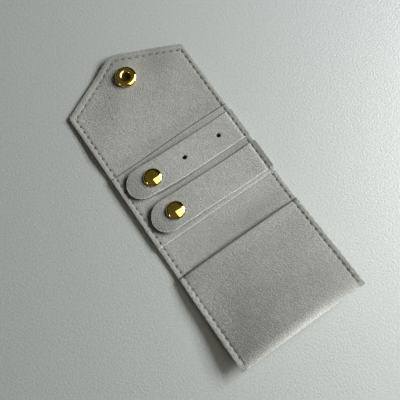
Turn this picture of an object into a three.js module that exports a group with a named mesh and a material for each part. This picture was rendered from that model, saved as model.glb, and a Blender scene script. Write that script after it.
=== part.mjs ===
/*
  Folding jewellery organizer, laid open.

  A strip of soft microfibre suede in three panels. Seen with the pointed flap at the back:
  the flap (+Y), the middle panel with two snap-down straps, and the pocket panel (-Y).
  The pocket folds up over the middle panel, and the flap folds down over the pocket and
  snaps to a stud on its back.

  Millimetres, +Z up, the table at Z = 0. The origin is the centre of the middle panel's
  underside. X runs across the wallet, with the sewn ends of the straps at +X.
*/
import * as THREE from 'three';

// Panels
const WIDTH = 78.5;
const MIDDLE_LENGTH = 67;
const POCKET_LENGTH = 59.2;
const FLAP_SHOULDER = 45.1;
const FLAP_TIP = 63.4;
const SHOULDER_RADIUS = 4;
const TIP_RADIUS = 5;

// Plies, from the outside in
const SHELL_THICKNESS = 0.8;
const LINING_THICKNESS = 0.8;
const STRAP_PANEL_THICKNESS = 0.7;
const STRAP_THICKNESS = 1.1;
const POCKET_FRONT_THICKNESS = 0.9;
const EDGE_SOFTNESS = 0.2;

// Clearances
const PLY_GAP = 0.2;
const SEAT_GAP = 0.15;
const CREASE_GAP = 0.5;
const FOLD_BACK_GAP = 0.25;
const CLOSED_GAP = 0.5;

// Sewn edge
const SEAM_MARGIN = 2.7;

// Strap panel, measured from the flap crease
const STRAP_PANEL_START = 0.3;
const STRAP_PANEL_LENGTH = 48.1;

// Straps, measured from the seam that holds their tails
const STRAP_WIDTH = 19.2;
const STRAP_SEAM_WIDTH = 18.1;
const STRAP_SNAP_REACH = 56;
const EARRING_STRAP_LENGTH = 72.8;
const EARRING_STRAP_PLACE = 13.55;
const EARRING_STRAP_SKEW = 0.5;
const EARRING_TAIL_OVERHANG = 0.1;
const RING_STRAP_LENGTH = 71;
const RING_STRAP_PLACE = 36.2;
const RING_STRAP_SKEW = 0.6;
const RING_TAIL_OVERHANG = 0.9;
const EARRING_HOLE_RADIUS = 1.3;
const EARRING_HOLE_FIRST = 11.9;
const EARRING_HOLE_SPACING = 23.1;

// Pocket
const POCKET_MOUTH = 0.6;
const POCKET_CROWN = 3.2;
const POCKET_ROLL = 9.5;
const POCKET_TURN_UNDER = 5;
const POCKET_LINING_SHORT = 3.5;

// Closure snap, measured from the flap crease and from the long axis
const CLOSURE_REACH = 46.1;
const CLOSURE_OFFSET = 1.1;
const CLOSURE_RING_RADIUS = 6.25;
const CLOSURE_CAP_RADIUS = 6.25;
const CLOSURE_CAP_HEIGHT = 2.4;
const CLOSURE_SOCKET_HEIGHT = 1.8;
const CLOSURE_STUD_RADIUS = 5.2;
const CLOSURE_STUD_FLANGE = 0.6;
const CLOSURE_PIP_HEIGHT = 2.1;

// Strap snaps
const STRAP_RING_RADIUS = 5;
const STRAP_CAP_RADIUS = 5.3;
const STRAP_CAP_HEIGHT = 2.3;
const STRAP_SOCKET_HEIGHT = 1.5;
const STRAP_STUD_RADIUS = 4.5;
const STRAP_STUD_FLANGE = 0.45;
const STRAP_PIP_HEIGHT = 1.5;

// What every snap shares
const PIP_RADIUS = 1.95;
const PIP_CLEARANCE = 0.35;
const SNAP_FACE_GAP = 0.15;
const CUP_WALL = 0.3;
const CUP_CLEARANCE = 0.3;
const POST_RADIUS = 1.45;
const POST_BORE = 1.05;
const POST_CLEARANCE = 0.2;
const POST_ROLL = 0.35;
const RIVET_RADIUS = 0.85;
const RIVET_BORE = 0.5;
const RIVET_FLANGE_RADIUS = 3.6;
const RIVET_FLANGE = 0.4;
const ROUND_STEPS = 26;

// Heights of the plies above the outside face of the shell
const LINING_BOTTOM = SHELL_THICKNESS + PLY_GAP;
const LINING_TOP = LINING_BOTTOM + LINING_THICKNESS;
const STRAP_PANEL_BOTTOM = LINING_TOP + PLY_GAP;
const STRAP_PANEL_TOP = STRAP_PANEL_BOTTOM + STRAP_PANEL_THICKNESS;
const TAIL_BOTTOM = STRAP_PANEL_TOP + PLY_GAP;
const TAIL_TOP = TAIL_BOTTOM + STRAP_THICKNESS;
const POCKET_SEAM_TOP = LINING_TOP + PLY_GAP + POCKET_FRONT_THICKNESS;

// Snaps: the socket's cup, and the holes that the plies have for it
const CUP_BORE = PIP_RADIUS + PIP_CLEARANCE;
const CUP_RADIUS = CUP_BORE + CUP_WALL;
const SNAP_HOLE_RADIUS = CUP_RADIUS + CUP_CLEARANCE;
const RIVET_HOLE_RADIUS = RIVET_RADIUS + CUP_CLEARANCE;
const RIVET_POCKET_RADIUS = RIVET_FLANGE_RADIUS + CUP_CLEARANCE;
const PIP_TIP_RADIUS = PIP_RADIUS * 0.8;

// Straps: they turn about the seam, just above their own top face
const SEAM_X = WIDTH / 2 - SEAM_MARGIN;
const STRAP_AXIS_Z = TAIL_TOP + FOLD_BACK_GAP;
const STRAP_TOP = -FOLD_BACK_GAP;
const STRAP_BOTTOM = STRAP_TOP - STRAP_THICKNESS;
const STRAP_STUD_TOP = STRAP_PANEL_TOP + SEAT_GAP + STRAP_STUD_FLANGE;
const STRAP_LIFT = STRAP_STUD_TOP + SNAP_FACE_GAP + STRAP_SOCKET_HEIGHT + SEAT_GAP - TAIL_BOTTOM;
const STRAP_TILT = Math.asin(STRAP_LIFT / STRAP_SNAP_REACH);
const STRAP_CAP_TOP = STRAP_AXIS_Z + STRAP_LIFT + STRAP_TOP + SEAT_GAP + STRAP_CAP_HEIGHT;

// The folds, worked out so that the closed panels lie level and the closure snap meets
const FOLDS = closedStack();

/*
  The flap lies back on its snap cap, and the pocket on its stud. Each hinge line is high
  enough to clear what is folded in, and the stud stands where the closed socket comes down.
*/
function closedStack() {
  const capDrop = SEAT_GAP + CLOSURE_CAP_HEIGHT;
  const studDrop = SEAT_GAP + CLOSURE_STUD_FLANGE + CLOSURE_PIP_HEIGHT;
  const pocketFace = STRAP_CAP_TOP + CLOSED_GAP + POCKET_SEAM_TOP + POCKET_CROWN;
  const snapStack = SEAT_GAP + CLOSURE_STUD_FLANGE + SNAP_FACE_GAP + CLOSURE_SOCKET_HEIGHT + SEAT_GAP;
  const flapFace = pocketFace + snapStack + LINING_TOP;
  const flapTilt = Math.atan(capDrop / CLOSURE_REACH);
  const flapAxis = flapFace / (1 + Math.cos(flapTilt));
  let studReach = MIDDLE_LENGTH - CLOSURE_REACH;
  let pocketTilt = 0;
  let pocketAxis = pocketFace / 2;
  for (let pass = 0; pass < 30; pass += 1) {
    pocketTilt = Math.atan(studDrop / (studReach - PIP_TIP_RADIUS));
    pocketAxis = pocketFace / (1 + Math.cos(pocketTilt));
    const shift = flapAxis * Math.sin(flapTilt) + pocketAxis * Math.sin(pocketTilt);
    studReach = MIDDLE_LENGTH - CLOSURE_REACH + shift;
  }
  return { flapTilt, flapAxis, pocketTilt, pocketAxis, studReach };
}

// Materials
function material(name, color, roughness, metalness) {
  const made = new THREE.MeshStandardMaterial({ color, roughness, metalness });
  made.name = name;
  return made;
}

const suedeOutside = () => material('suede_outside', '#a3a29c', 0.95, 0);
const suedeInside = () => material('suede_inside', '#aeada7', 0.95, 0);
const suedeStrap = () => material('suede_strap', '#b3b2ac', 0.92, 0);
const brassPolished = () => material('brass_polished', '#c8a53c', 0.18, 1);
const brassInner = () => material('brass_inner', '#a8842f', 0.35, 1);

// Shapes
function roundedOutline(corners) {
  const shape = new THREE.Shape();
  const count = corners.length;
  corners.forEach(([x, y, radius], index) => {
    const here = new THREE.Vector2(x, y);
    const before = new THREE.Vector2(...corners[(index + count - 1) % count]);
    const after = new THREE.Vector2(...corners[(index + 1) % count]);
    const inward = before.clone().sub(here).normalize();
    const outward = after.clone().sub(here).normalize();
    const half = Math.acos(THREE.MathUtils.clamp(inward.dot(outward), -1, 1)) / 2;
    const run = radius / Math.tan(half);
    const start = here.clone().addScaledVector(inward, run);
    const end = here.clone().addScaledVector(outward, run);
    if (index === 0) {
      shape.moveTo(start.x, start.y);
    } else {
      shape.lineTo(start.x, start.y);
    }
    if (radius > 0) {
      shape.quadraticCurveTo(x, y, end.x, end.y);
    }
  });
  shape.closePath();
  return shape;
}

function panelOutline(nearY, farY) {
  const half = WIDTH / 2;
  return roundedOutline([[-half, nearY, 0], [half, nearY, 0], [half, farY, 0], [-half, farY, 0]]);
}

function flapOutline() {
  const half = WIDTH / 2;
  const crease = CREASE_GAP / 2;
  return roundedOutline([
    [-half, crease, 0],
    [half, crease, 0],
    [half, FLAP_SHOULDER, SHOULDER_RADIUS],
    [0, FLAP_TIP, TIP_RADIUS],
    [-half, FLAP_SHOULDER, SHOULDER_RADIUS],
  ]);
}

function addHole(shape, x, y, radius) {
  const hole = new THREE.Path();
  hole.absarc(x, y, radius, 0, Math.PI * 2, true);
  shape.holes.push(hole);
  return shape;
}

// A cut ply: flat faces and slightly softened edges
function ply(shape, thickness, bottom) {
  const soft = Math.min(EDGE_SOFTNESS, thickness / 3);
  const geometry = new THREE.ExtrudeGeometry(shape, {
    depth: thickness - 2 * soft,
    bevelEnabled: true,
    bevelThickness: soft,
    bevelSize: soft,
    bevelOffset: -soft,
    bevelSegments: 1,
    curveSegments: 8,
  });
  geometry.translate(0, 0, bottom + soft);
  return geometry;
}

// A turned piece: profile points are [radius, height], the axis stands along Z
function turned(profile) {
  const points = profile.map(([radius, height]) => new THREE.Vector2(radius, height));
  const geometry = new THREE.LatheGeometry(points, ROUND_STEPS);
  geometry.rotateX(Math.PI / 2);
  return geometry;
}

function closedProfile(profile) {
  return turned([...profile, profile[0]]);
}

function mesh(name, geometry, surface) {
  const made = new THREE.Mesh(geometry, surface);
  made.name = name;
  return made;
}

/*
  Snap cap. The fabric's face is at Z = 0 less the seat gap, the dome rises above it, and
  the hollow post runs down through the fabric and rolls over the floor of the socket.
*/
function capGeometry(radius, height, postLength) {
  const rim = height * 0.22;
  const profile = [];
  for (let step = 0; step <= 7; step += 1) {
    const angle = (step / 7) * (Math.PI / 2);
    profile.push([radius * Math.sin(angle), rim + (height - rim) * Math.cos(angle)]);
  }
  profile[0][0] = 0;
  profile.push([radius * 0.985, rim * 0.3]);
  profile.push([radius * 0.94, 0]);
  profile.push([radius * 0.86, rim * 0.6]);
  profile.push([POST_RADIUS, rim * 0.6]);
  profile.push([POST_RADIUS, -postLength + POST_ROLL]);
  profile.push([POST_RADIUS + POST_CLEARANCE + 0.15, -postLength + POST_ROLL * 0.7]);
  profile.push([POST_RADIUS + POST_CLEARANCE + 0.05, -postLength]);
  profile.push([POST_BORE + 0.15, -postLength]);
  profile.push([POST_BORE, -postLength + POST_ROLL * 0.7]);
  profile.push([POST_BORE, -SEAT_GAP]);
  profile.push([0, rim * 0.4]);
  return turned(profile.reverse());
}

/*
  Snap socket. Its flange lies on the fabric at Z = 0, its ring rises to the mouth, and its
  cup reaches down into the hole in the fabric. The floor of the cup has the post's hole.
*/
function socketFloor(height, pip) {
  return height - (pip - SNAP_FACE_GAP + POST_ROLL + POST_CLEARANCE + PIP_CLEARANCE / 2);
}

function socketGeometry(radius, height, pip) {
  const floor = socketFloor(height, pip);
  const ring = radius * 0.87;
  const throat = CUP_BORE + (ring - CUP_BORE) * 0.24;
  return closedProfile([
    [CUP_RADIUS, 0],
    [radius * 0.97, 0],
    [radius, height * 0.1],
    [radius * 0.985, height * 0.22],
    [ring * 1.02, height * 0.32],
    [ring, height * 0.6],
    [ring * 0.95, height * 0.85],
    [ring * 0.86, height * 0.98],
    [ring * 0.74, height],
    [throat + (ring - throat) * 0.16, height],
    [throat, height * 0.9],
    [CUP_BORE, height * 0.55],
    [CUP_BORE, floor],
    [POST_RADIUS + POST_CLEARANCE, floor],
    [POST_RADIUS + POST_CLEARANCE, floor - CUP_WALL],
    [CUP_RADIUS - 0.15, floor - CUP_WALL],
    [CUP_RADIUS, floor],
  ]);
}

// The post is as long as the fabric and the cup's floor need
function postLength(fabric, height, pip) {
  return fabric + 2 * SEAT_GAP + socketFloor(height, pip) + POST_CLEARANCE / 2 + POST_ROLL;
}

// Snap stud: a pressed flange and a waisted pip, with a bore for the rivet
function studGeometry(radius, flange, pip) {
  const bore = RIVET_RADIUS + SEAT_GAP;
  const top = flange + pip;
  return closedProfile([
    [bore, 0],
    [radius * 0.96, 0],
    [radius, flange * 0.4],
    [radius * 0.95, flange * 0.9],
    [radius * 0.78, flange],
    [PIP_RADIUS * 1.12, flange * 0.9],
    [PIP_RADIUS * 0.9, flange + pip * 0.12],
    [PIP_RADIUS * 0.86, flange + pip * 0.42],
    [PIP_RADIUS, flange + pip * 0.66],
    [PIP_RADIUS * 0.97, flange + pip * 0.86],
    [PIP_TIP_RADIUS, top],
    [bore + 0.45, top],
    [bore, top - 0.4],
  ]);
}

/*
  Tubular rivet of a stud. Its flange lies under the fabric, and its top rolls out into the
  countersink of the pip. Z = 0 is the flange's face towards the fabric.
*/
function rivetGeometry(fabric, stud) {
  const top = fabric + 2 * SEAT_GAP + stud - 0.1;
  return closedProfile([
    [RIVET_BORE, -RIVET_FLANGE * 0.6],
    [RIVET_BORE + 0.3, -RIVET_FLANGE],
    [RIVET_FLANGE_RADIUS * 0.95, -RIVET_FLANGE],
    [RIVET_FLANGE_RADIUS, -RIVET_FLANGE * 0.5],
    [RIVET_FLANGE_RADIUS * 0.95, 0],
    [RIVET_RADIUS, 0],
    [RIVET_RADIUS, top - 0.3],
    [RIVET_RADIUS + 0.3, top],
    [RIVET_BORE + 0.2, top],
    [RIVET_BORE, top - 0.3],
  ]);
}

// Turns a snap piece over, so that it faces down
function flipped(piece) {
  piece.rotation.x = Math.PI;
  return piece;
}

// Flap: its frame starts at the crease, on the outside face of the shell
function makeFlap() {
  const flap = new THREE.Group();
  const snapHole = (shape) => addHole(shape, CLOSURE_OFFSET, CLOSURE_REACH, SNAP_HOLE_RADIUS);
  const shell = ply(snapHole(flapOutline()), SHELL_THICKNESS, 0);
  const lining = ply(snapHole(flapOutline()), LINING_THICKNESS, LINING_BOTTOM);
  flap.add(mesh('flap_shell', shell, suedeOutside()));
  flap.add(mesh('flap_lining', lining, suedeInside()));

  const post = postLength(LINING_TOP, CLOSURE_SOCKET_HEIGHT, CLOSURE_PIP_HEIGHT);
  const capSolid = capGeometry(CLOSURE_CAP_RADIUS, CLOSURE_CAP_HEIGHT, post);
  const cap = flipped(mesh('closure_cap', capSolid, brassPolished()));
  cap.position.set(CLOSURE_OFFSET, CLOSURE_REACH, -SEAT_GAP);
  flap.add(cap);

  const ring = socketGeometry(CLOSURE_RING_RADIUS, CLOSURE_SOCKET_HEIGHT, CLOSURE_PIP_HEIGHT);
  const socket = mesh('closure_socket', ring, brassPolished());
  socket.position.set(CLOSURE_OFFSET, CLOSURE_REACH, LINING_TOP + SEAT_GAP);
  flap.add(socket);

  flap.position.set(0, MIDDLE_LENGTH / 2, 0);
  flap.rotation.x = FOLDS.flapTilt;
  return flap;
}

// A point of a strap in the plane: along its length from the seam, and across it
function strapPoint(along, across, skew) {
  const angle = THREE.MathUtils.degToRad(skew);
  const x = -along * Math.cos(angle) + across * Math.sin(angle);
  const y = along * Math.sin(angle) + across * Math.cos(angle);
  return new THREE.Vector2(x, y);
}

// How far along one side of a strap the line at x lies
function strapReachAt(x, across, skew) {
  const angle = THREE.MathUtils.degToRad(skew);
  return (across * Math.sin(angle) - x) / Math.cos(angle);
}

// Free part of a strap: cut along the seam, a little wider towards its half-round end
function strapOutline(length, skew) {
  const seamHalf = STRAP_SEAM_WIDTH / 2;
  const half = STRAP_WIDTH / 2;
  const seam = -CREASE_GAP / 2;
  const points = [];
  points.push(strapPoint(strapReachAt(seam, -seamHalf, skew), -seamHalf, skew));
  points.push(strapPoint(strapReachAt(seam, seamHalf, skew), seamHalf, skew));
  for (let step = 0; step <= 16; step += 1) {
    const angle = Math.PI / 2 - (step / 16) * Math.PI;
    const along = length - half + half * Math.cos(angle);
    points.push(strapPoint(along, half * Math.sin(angle), skew));
  }
  return new THREE.Shape(points);
}

// Sewn tail of a strap: from the seam to just past the wallet's edge
function tailOutline(skew, overhang) {
  const half = STRAP_SEAM_WIDTH / 2;
  const seam = CREASE_GAP / 2;
  const end = -(SEAM_MARGIN + overhang);
  return new THREE.Shape([
    strapPoint(strapReachAt(seam, half, skew), half, skew),
    strapPoint(strapReachAt(seam, -half, skew), -half, skew),
    strapPoint(end, -half, skew),
    strapPoint(end, half, skew),
  ]);
}

function strapSeamY(place) {
  return MIDDLE_LENGTH / 2 - place;
}

// Where the stud stands on the strap panel, under the tilted strap's socket
function strapStudPlace(place, skew) {
  const snap = strapPoint(STRAP_SNAP_REACH, 0, skew);
  const mouth = STRAP_BOTTOM - SEAT_GAP - STRAP_SOCKET_HEIGHT / 2;
  const x = snap.x * Math.cos(STRAP_TILT) + mouth * Math.sin(STRAP_TILT);
  return new THREE.Vector2(SEAM_X + x, strapSeamY(place) + snap.y);
}

// Strap: its frame lies on the seam's hinge line, tilted up to the snap
function makeStrap(name, length, place, skew, holes) {
  const strap = new THREE.Group();
  const snap = strapPoint(STRAP_SNAP_REACH, 0, skew);
  const outline = addHole(strapOutline(length, skew), snap.x, snap.y, SNAP_HOLE_RADIUS);
  holes.forEach((reach) => {
    const hole = strapPoint(reach, 0, skew);
    addHole(outline, hole.x, hole.y, EARRING_HOLE_RADIUS);
  });
  strap.add(mesh(`${name}_strap`, ply(outline, STRAP_THICKNESS, STRAP_BOTTOM), suedeStrap()));

  const post = postLength(STRAP_THICKNESS, STRAP_SOCKET_HEIGHT, STRAP_PIP_HEIGHT);
  const cap = mesh(`${name}_cap`, capGeometry(STRAP_CAP_RADIUS, STRAP_CAP_HEIGHT, post), brassPolished());
  cap.position.set(snap.x, snap.y, STRAP_TOP + SEAT_GAP);
  strap.add(cap);

  const ring = socketGeometry(STRAP_RING_RADIUS, STRAP_SOCKET_HEIGHT, STRAP_PIP_HEIGHT);
  const socket = flipped(mesh(`${name}_socket`, ring, brassPolished()));
  socket.position.set(snap.x, snap.y, STRAP_BOTTOM - SEAT_GAP);
  strap.add(socket);

  strap.position.set(SEAM_X, strapSeamY(place), STRAP_AXIS_Z);
  strap.rotation.y = STRAP_TILT;
  return strap;
}

// What stays on the middle panel for one strap: its tail, and the stud with its rivet
function makeStrapSeat(name, place, skew, overhang) {
  const seat = new THREE.Group();
  const tail = mesh(`${name}_strap_tail`, ply(tailOutline(skew, overhang), STRAP_THICKNESS, 0), suedeStrap());
  tail.position.set(SEAM_X, strapSeamY(place), TAIL_BOTTOM);
  seat.add(tail);

  const stand = strapStudPlace(place, skew);
  const studSolid = studGeometry(STRAP_STUD_RADIUS, STRAP_STUD_FLANGE, STRAP_PIP_HEIGHT);
  const stud = mesh(`${name}_stud`, studSolid, brassPolished());
  stud.position.set(stand.x, stand.y, STRAP_PANEL_TOP + SEAT_GAP);
  seat.add(stud);

  const rivetSolid = rivetGeometry(STRAP_PANEL_THICKNESS, STRAP_STUD_FLANGE + STRAP_PIP_HEIGHT);
  const rivet = mesh(`${name}_rivet`, rivetSolid, brassInner());
  rivet.position.set(stand.x, stand.y, STRAP_PANEL_BOTTOM - SEAT_GAP);
  seat.add(rivet);
  return seat;
}

// Middle panel: shell, lining and strap panel, with what carries the straps
function makeMiddle() {
  const middle = new THREE.Group();
  const end = MIDDLE_LENGTH / 2 - CREASE_GAP / 2;
  const studs = [
    strapStudPlace(EARRING_STRAP_PLACE, EARRING_STRAP_SKEW),
    strapStudPlace(RING_STRAP_PLACE, RING_STRAP_SKEW),
  ];
  const lining = panelOutline(-end, end);
  const panelTop = MIDDLE_LENGTH / 2 - STRAP_PANEL_START;
  const panel = panelOutline(panelTop - STRAP_PANEL_LENGTH, panelTop);
  studs.forEach((stud) => {
    addHole(lining, stud.x, stud.y, RIVET_POCKET_RADIUS);
    addHole(panel, stud.x, stud.y, RIVET_HOLE_RADIUS);
  });
  middle.add(mesh('middle_shell', ply(panelOutline(-end, end), SHELL_THICKNESS, 0), suedeOutside()));
  middle.add(mesh('middle_lining', ply(lining, LINING_THICKNESS, LINING_BOTTOM), suedeInside()));
  middle.add(mesh('strap_panel', ply(panel, STRAP_PANEL_THICKNESS, STRAP_PANEL_BOTTOM), suedeInside()));
  middle.add(makeStrapSeat('earring', EARRING_STRAP_PLACE, EARRING_STRAP_SKEW, EARRING_TAIL_OVERHANG));
  middle.add(makeStrapSeat('ring', RING_STRAP_PLACE, RING_STRAP_SKEW, RING_TAIL_OVERHANG));
  return middle;
}

// Height of the pocket front's face: level at the sewn margins, full in the middle
function pocketFace(x, reach) {
  const inside = WIDTH / 2 - SEAM_MARGIN;
  const across = Math.min(1, Math.abs(x) / inside);
  const along = THREE.MathUtils.smoothstep(reach, POCKET_LENGTH * 0.12, POCKET_LENGTH * 0.78);
  const swell = (1 - across ** 2.4) * (0.2 + 0.8 * along);
  return POCKET_SEAM_TOP + POCKET_CROWN * swell;
}

/*
  One section of the pocket front at x, as [reach, height] pairs: from the mouth along the
  face, round the soft fold at the end, a little way back underneath, and home again inside.
  The fold is an egg: a long quarter oval on the face, and a shorter one underneath.
*/
function pocketSection(x) {
  const rows = 11;
  const arc = 5;
  const half = pocketFace(x, POCKET_LENGTH) / 2;
  const bend = POCKET_LENGTH - POCKET_ROLL;
  const outer = [];
  const inner = [];
  for (let row = 0; row < rows; row += 1) {
    const reach = POCKET_MOUTH + (bend - POCKET_MOUTH) * (row / rows);
    outer.push([reach, pocketFace(x, reach)]);
    inner.push([reach, pocketFace(x, reach) - POCKET_FRONT_THICKNESS]);
  }
  const oval = (run, wall, angle) => {
    const centre = POCKET_LENGTH - run;
    outer.push([centre + run * Math.cos(angle), half + half * Math.sin(angle)]);
    inner.push([centre + (run - wall) * Math.cos(angle), half + (half - wall) * Math.sin(angle)]);
  };
  for (let step = 0; step < arc; step += 1) {
    oval(POCKET_ROLL, POCKET_FRONT_THICKNESS, (Math.PI / 2) * (1 - step / arc));
  }
  for (let step = 0; step <= arc; step += 1) {
    const wall = THREE.MathUtils.lerp(POCKET_FRONT_THICKNESS, SHELL_THICKNESS, step / arc);
    oval(POCKET_TURN_UNDER, wall, -(Math.PI / 2) * (step / arc));
  }
  return [...outer, ...inner.reverse()];
}

// Skins a row of equal sections and closes both ends
function loftAcross(stations, sectionAt) {
  const loops = stations.map((x) => sectionAt(x));
  const count = loops[0].length;
  const positions = [];
  loops.forEach((loop, station) => {
    loop.forEach(([reach, height]) => positions.push(stations[station], -reach, height));
  });
  const index = [];
  for (let station = 0; station < stations.length - 1; station += 1) {
    for (let point = 0; point < count; point += 1) {
      const next = (point + 1) % count;
      const a = station * count + point;
      const b = station * count + next;
      const c = (station + 1) * count + next;
      const d = (station + 1) * count + point;
      index.push(a, b, c, a, c, d);
    }
  }
  const contour = loops[0].map(([reach, height]) => new THREE.Vector2(reach, height));
  const last = (stations.length - 1) * count;
  THREE.ShapeUtils.triangulateShape(contour, []).forEach(([a, b, c]) => {
    index.push(a, b, c);
    index.push(last + c, last + b, last + a);
  });
  const geometry = new THREE.BufferGeometry();
  geometry.setAttribute('position', new THREE.Float32BufferAttribute(positions, 3));
  geometry.setIndex(index);
  geometry.computeVertexNormals();
  return geometry;
}

function pocketStations() {
  const half = WIDTH / 2;
  const inside = half - SEAM_MARGIN;
  const steps = 14;
  const stations = [-half];
  for (let step = 0; step <= steps; step += 1) {
    stations.push(-inside * Math.cos((step / steps) * Math.PI));
  }
  stations.push(half);
  return stations;
}

// Pocket: its frame starts at the crease, on the outside face of the shell
function makePocket() {
  const pocket = new THREE.Group();
  const crease = -CREASE_GAP / 2;
  const shellEnd = -(POCKET_LENGTH - POCKET_TURN_UNDER - CREASE_GAP);
  const liningEnd = -(POCKET_LENGTH - POCKET_LINING_SHORT);
  const stand = new THREE.Vector2(CLOSURE_OFFSET, -FOLDS.studReach);
  const shell = addHole(panelOutline(shellEnd, crease), stand.x, stand.y, RIVET_HOLE_RADIUS);
  const lining = addHole(panelOutline(liningEnd, crease), stand.x, stand.y, RIVET_POCKET_RADIUS);
  pocket.add(mesh('pocket_shell', ply(shell, SHELL_THICKNESS, 0), suedeOutside()));
  pocket.add(mesh('pocket_lining', ply(lining, LINING_THICKNESS, LINING_BOTTOM), suedeInside()));
  pocket.add(mesh('pocket_front', loftAcross(pocketStations(), pocketSection), suedeInside()));

  const studSolid = studGeometry(CLOSURE_STUD_RADIUS, CLOSURE_STUD_FLANGE, CLOSURE_PIP_HEIGHT);
  const stud = flipped(mesh('closure_stud', studSolid, brassPolished()));
  stud.position.set(stand.x, stand.y, -SEAT_GAP);
  pocket.add(stud);

  const rivetSolid = rivetGeometry(SHELL_THICKNESS, CLOSURE_STUD_FLANGE + CLOSURE_PIP_HEIGHT);
  const rivet = flipped(mesh('closure_rivet', rivetSolid, brassInner()));
  rivet.position.set(stand.x, stand.y, SHELL_THICKNESS + SEAT_GAP);
  pocket.add(rivet);

  pocket.position.set(0, -MIDDLE_LENGTH / 2, 0);
  pocket.rotation.x = -FOLDS.pocketTilt;
  return pocket;
}

const organizer = new THREE.Group();
organizer.name = 'jewelry_organizer';
organizer.add(makeFlap());
organizer.add(makeMiddle());
organizer.add(makeStrap('earring', EARRING_STRAP_LENGTH, EARRING_STRAP_PLACE, EARRING_STRAP_SKEW, [
  EARRING_HOLE_FIRST,
  EARRING_HOLE_FIRST + EARRING_HOLE_SPACING,
]));
organizer.add(makeStrap('ring', RING_STRAP_LENGTH, RING_STRAP_PLACE, RING_STRAP_SKEW, []));
organizer.add(makePocket());

export default organizer;
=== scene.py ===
# %% [markdown]
# # Folding jewelry organizer
# The real object is a strip of grey microfibre suede in three panels: a pointed flap, a middle
# panel with two snap-down straps, and a pocket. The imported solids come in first. They fix the
# size and the places of everything, so each soft piece is made around them.

# %% The frame
import math
import bpy
import numpy as np
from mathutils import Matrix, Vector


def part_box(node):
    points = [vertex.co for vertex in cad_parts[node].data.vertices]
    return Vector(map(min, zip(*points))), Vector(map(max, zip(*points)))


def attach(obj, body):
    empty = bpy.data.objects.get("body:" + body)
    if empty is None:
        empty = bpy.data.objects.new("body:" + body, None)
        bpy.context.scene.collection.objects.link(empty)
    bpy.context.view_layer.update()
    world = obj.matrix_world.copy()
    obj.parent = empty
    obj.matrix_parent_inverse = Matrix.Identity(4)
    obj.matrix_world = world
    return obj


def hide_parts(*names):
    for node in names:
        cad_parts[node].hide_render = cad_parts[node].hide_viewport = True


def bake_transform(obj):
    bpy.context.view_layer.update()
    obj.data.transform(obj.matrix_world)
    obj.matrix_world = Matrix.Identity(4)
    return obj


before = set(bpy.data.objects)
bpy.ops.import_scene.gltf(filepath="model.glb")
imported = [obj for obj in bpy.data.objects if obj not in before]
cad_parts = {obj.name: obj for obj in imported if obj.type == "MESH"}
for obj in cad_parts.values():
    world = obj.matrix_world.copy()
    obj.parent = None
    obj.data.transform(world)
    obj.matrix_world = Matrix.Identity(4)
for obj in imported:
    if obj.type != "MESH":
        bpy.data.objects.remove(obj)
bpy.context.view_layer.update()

# %% [markdown]
# ## The camera
# The camera looks almost straight down from a third of a metre, turned by 35 degrees. Its place
# in millimetres and its turn in degrees were worked out from the straight edges, the folds and
# the round snap.

# %% Camera
MM = 0.001
CAMERA_PLACE = (-35.46, -65.42, 327.8)
CAMERA_TURN = (11.7387, 1.74497, -34.7769)
bpy.ops.object.select_all(action="DESELECT")
bpy.ops.object.camera_add(
    location=[value * MM for value in CAMERA_PLACE],
    rotation=[math.radians(value) for value in CAMERA_TURN])
camera = bpy.context.object
camera.name = "photo_camera"
camera.data.lens = 54
camera.data.sensor_width = 36
camera.data.clip_start = 0.01
bpy.context.scene.camera = camera
print("camera stands", round(camera.location.z, 3), "m above the table")

# %% [markdown]
# ## Sizes
# Everything is drawn in millimetres and shrunk to metres at the end, because Blender's tools
# merge and bevel most safely on shapes of some size. The plies, folds and snaps have the sizes
# of the solids. A reach is counted from a crease, and y from the middle of the strip.
#
# Of each strap, long is its length from the seam, y the place of its tail, overhang how far the
# tail goes past the edge, and holes the places of its punched holes. The real straps are cut
# by eye, so upper and lower are half widths at distances from the seam, and end is how much of
# its depth the round end keeps. The number after the holes is how much painted shade darkens the tail.

# %% Sizes in millimetres
HALF_WIDTH = 39.25
CREASE = 33.5
SEAM_IN, SLANT_SEAM_IN = 2.7, 3.9
SEAM_X = HALF_WIDTH - SEAM_IN
STITCH_PITCH, STITCH_LENGTH = 3.9, 1.8
SHOULDER, TIP = 45.1, 63.4
POCKET_REACH = 59.2
SHELL, LINING, PANEL, STRAP = 0.8, 0.8, 0.7, 1.1
LINING_AT, PANEL_AT, TAIL_AT = 1.0, 2.0, 2.9
LINING_TOP, PANEL_TOP, TAIL_TOP = LINING_AT + LINING, PANEL_AT + PANEL, TAIL_AT + STRAP
PANEL_FROM, PANEL_TO = -14.2, 33.2
FLAP_TILT, POCKET_TILT, STRAP_TILT = (math.radians(a) for a in (3.166063, 7.756449, 2.251485))
STRAP_AXIS_Z = 4.25
SNAP_X, SNAP_REACH, STUD_REACH = 1.1, 46.1, 22.483777
SNAP_PUNCH, STUD_PUNCH, RIVET_PUNCH, EARRING_PUNCH = 2.9, 1.15, 3.9, 1.3
STRAP_HALF, STRAP_SEAM_HALF, STRAP_SNAP = 9.6, 9.05, 56.0
STRAPS = {
    "earring": dict(
        long=72.8, y=CREASE - 13.55, skew=math.radians(0.5), overhang=0.1, holes=(11.9, 35.0),
        tail_shade=0.1, end=0.875,
        upper=((0, 20, 34, 46, 56, 64), (9.0, 8.85, 8.65, 8.75, 9.05, 9.4)),
        lower=((0, 38, 46, 55, 60, 65), (9.05, 9.35, 9.25, 8.7, 8.15, 7.7))),
    "ring": dict(
        long=71.0, y=CREASE - 36.2, skew=math.radians(0.6), overhang=0.45, holes=(),
        tail_shade=0.8, end=0.96,
        upper=((0, 14, 38, 46, 56, 62), (9.05, 8.8, 8.7, 8.76, 9.05, 9.25)),
        lower=((0, 22, 30, 46, 62), (9.05, 9.25, 9.0, 9.0, 8.85))),
}
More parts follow.
